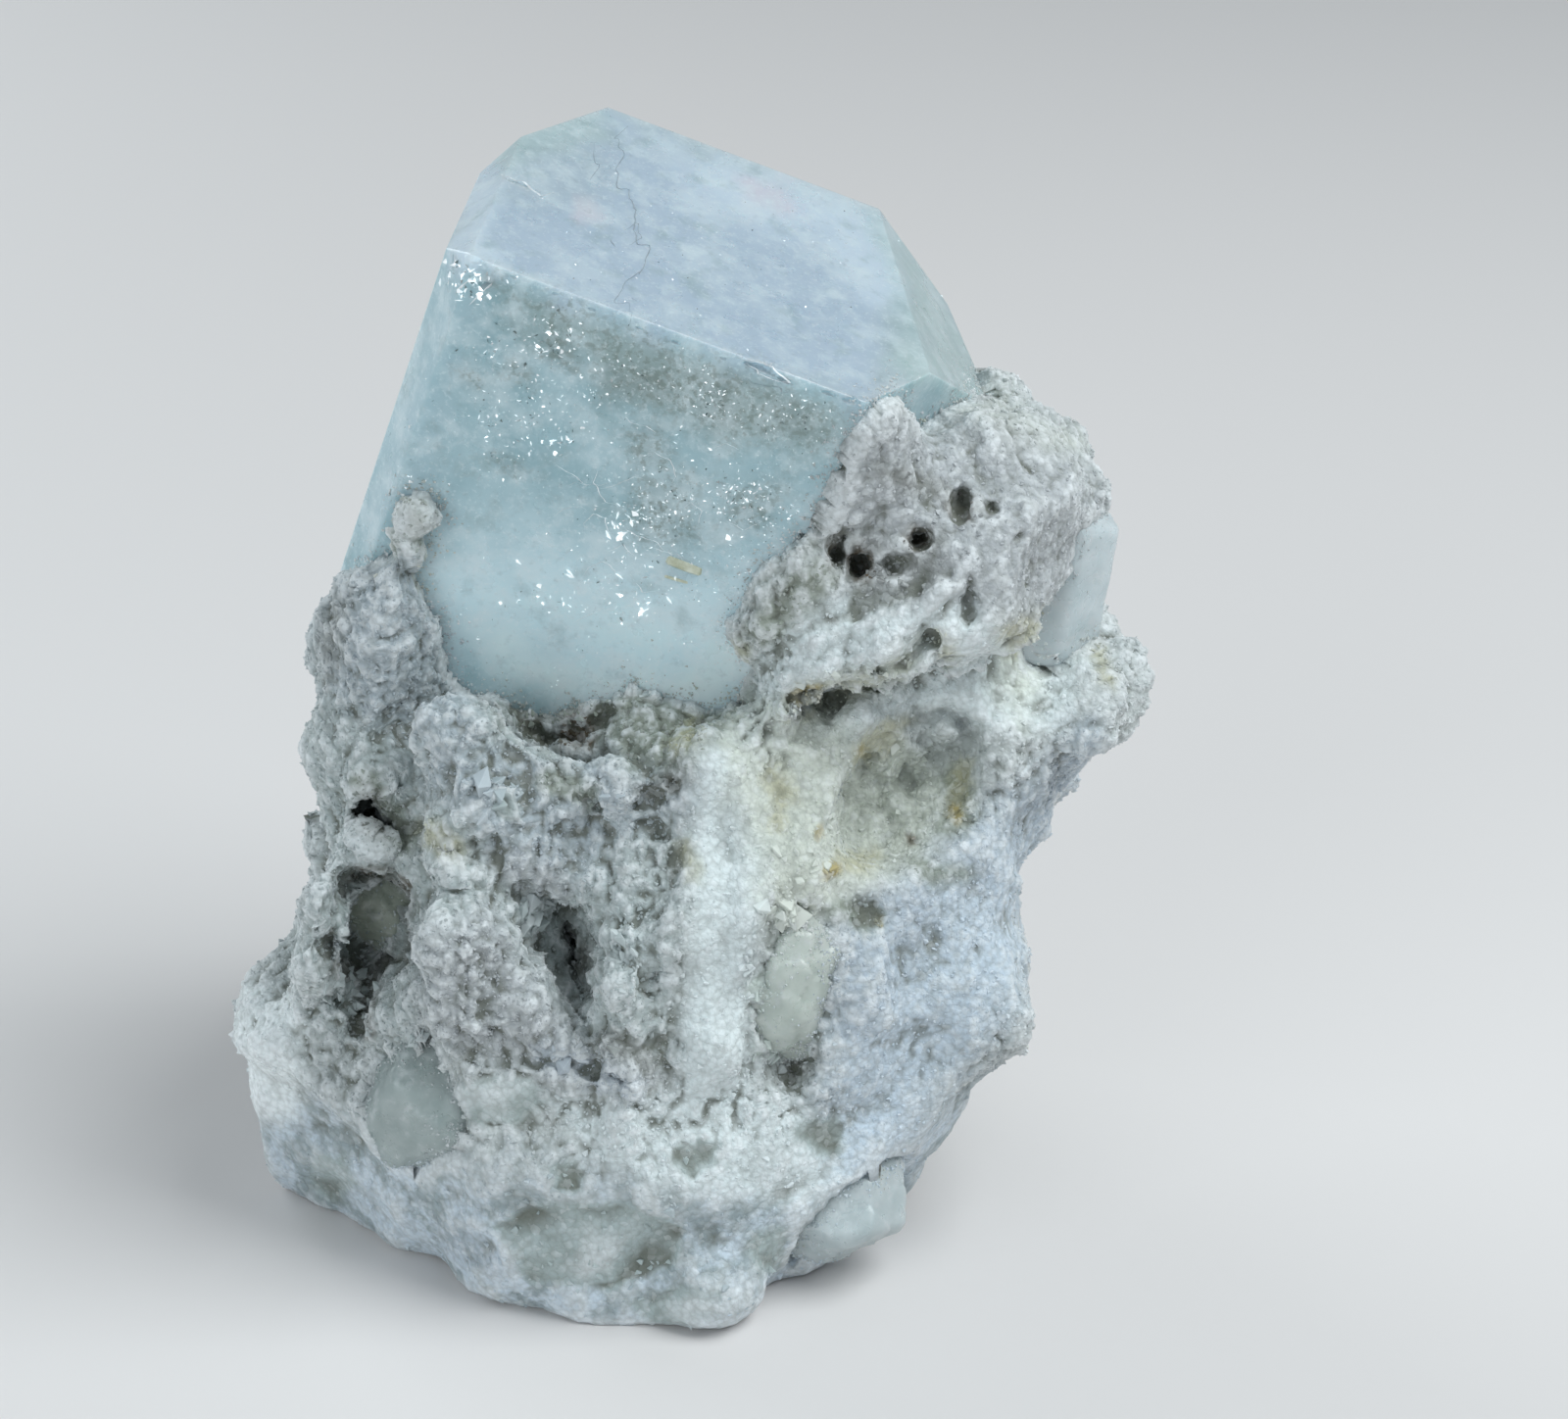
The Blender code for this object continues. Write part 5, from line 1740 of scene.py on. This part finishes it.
for name, (
    slot, clear, dull, deep, pale, rounding, rounds, waviness, steps, wider, taller
) in GLASSY.items():
    finish, tree, shader = new_finish(
        name + "_glass", IOR=1.54, Transmission_Weight=clear,
        Subsurface_Weight=0.4, Subsurface_Radius=(0.9, 1.0, 1.0), Subsurface_Scale=0.8 * MM,
    )
    colour = tint(tree, cloud_mask(tree, 1.4, 0.35, 0.65), deep, pale)
    colour = stain(tree, colour, cloud_mask(tree, 0.5, 0.54, 0.70, 0.04), 0.5, CHALK_AND_HIGHLIGHT)
    tree.links.new(colour, shader.inputs["Base Color"])
    fleck = place_effect(tree, grain_effect, Grain_Size=0.5, Unevenness=0.9)
    tree.links.new(
        spread(tree, fleck.outputs["Tone"], 0.0, 1.0, dull, dull + 0.2), shader.inputs["Roughness"]
    )
    bump = add_node(
        tree, "ShaderNodeBump", {"Height": fleck.outputs["Height"], "Strength": 0.2, "Distance": 0.04 * MM}
    )
    tree.links.new(bump.outputs["Normal"], shader.inputs["Normal"])
    piece = new_piece(name + "_glassy", flat_faced(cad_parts[name], name), finish)
    wear_edges(piece, rounding)
    even_skin(piece, GLASS_VOXEL)
    worn = piece.modifiers.new("worn_round", "SMOOTH")
    worn.factor = 0.5
    worn.iterations = rounds
    evaluated(piece)
    piece.data.shade_smooth()
    places = mesh_places(piece.data)
    swell = GLASS_SWELL + waviness * (smooth_noise(places, 1.1, 4.4) + 0.3 * smooth_noise(places, 0.4, 2.2))
    swell += steps * block_noise(places, 0.9, 5.5)
    middle = (places.min(axis=0) + places.max(axis=0)) / 2
    grown = middle + (places - middle) * (wider, 1.0, taller)
    put_places(piece.data, grown + mesh_facings(piece.data) * swell[:, None])
    dressed[name] = piece
    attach(piece, "root")
    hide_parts(name)

# ---- the crumbs at the joints --------------------------------------------------------------
# Fine grains of rock stuck to the crystal along its foot and to the rims of the glassy pieces,
# thinning out up their faces.
CRUMBS = {
    "aquamarine_crystal": 9000, "side_crystal": 900, "quartz_grain_left": 1400, "quartz_grain_right": 1200,
    "quartz_grain_vein": 1400, "quartz_grain_hollow": 900,
}
CRUMB_REACH = 0.22
CRUMB_SIZES = (0.025, 0.10)
# The share of a tone that they take from the rock, where it is not all of it.
PALE_CRUMBS = {"socket": 0.0, "shade": 0.0, "rust": 0.0, "contact": 0.5, "olive": 0.6}
centres = []
for name, count in CRUMBS.items():
    mesh = dressed[name].data
    places = mesh_places(mesh)
    triangles, area, _ = skin_triangles(mesh, places)
    nearness = np.zeros(len(triangles))
    for index, middle in enumerate(places[triangles].mean(axis=1)):
        spot, facing, _, gap = rock_skin.find_nearest(Vector(middle * MM))
        outside = (Vector(middle * MM) - spot).dot(facing) > -0.02 * MM
        nearness[index] = math.exp(-gap / MM / CRUMB_REACH) if outside else 0.0
    centres.append(scatter_on(places, triangles, area * nearness, count)[0])
centres = np.concatenate(centres)
sizes = CRUMB_SIZES[0] + (CRUMB_SIZES[1] - CRUMB_SIZES[0]) * chance.random((len(centres), 1)) ** 2
corners, faces = scattered_shards(centres, sizes * chance.uniform(0.6, 1.0, (len(centres), 3)))
crumb_mesh = mesh_from("rim_grains", corners * MM, faces)
nearest = [rock_skin.find_nearest(Vector(centre * MM))[2] for centre in centres]
owner = np.array([rock.data.polygons[index].vertices[0] for index in nearest])
tones = {layer: mask[owner] * PALE_CRUMBS.get(layer, 1.0) for layer, mask in rock_masks.items()}
give_tones(crumb_mesh, tones, 0.4 + 0.6 * chance.random(len(centres)))
crumbs = new_piece("rim_grains", crumb_mesh, sugar)
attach(crumbs, "root")

# ---- the size, and the end ----------------------------------------------------------------
sizes = {"cad": [list(corner) for corner in cad_box], "visual": [list(corner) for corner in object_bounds()]}
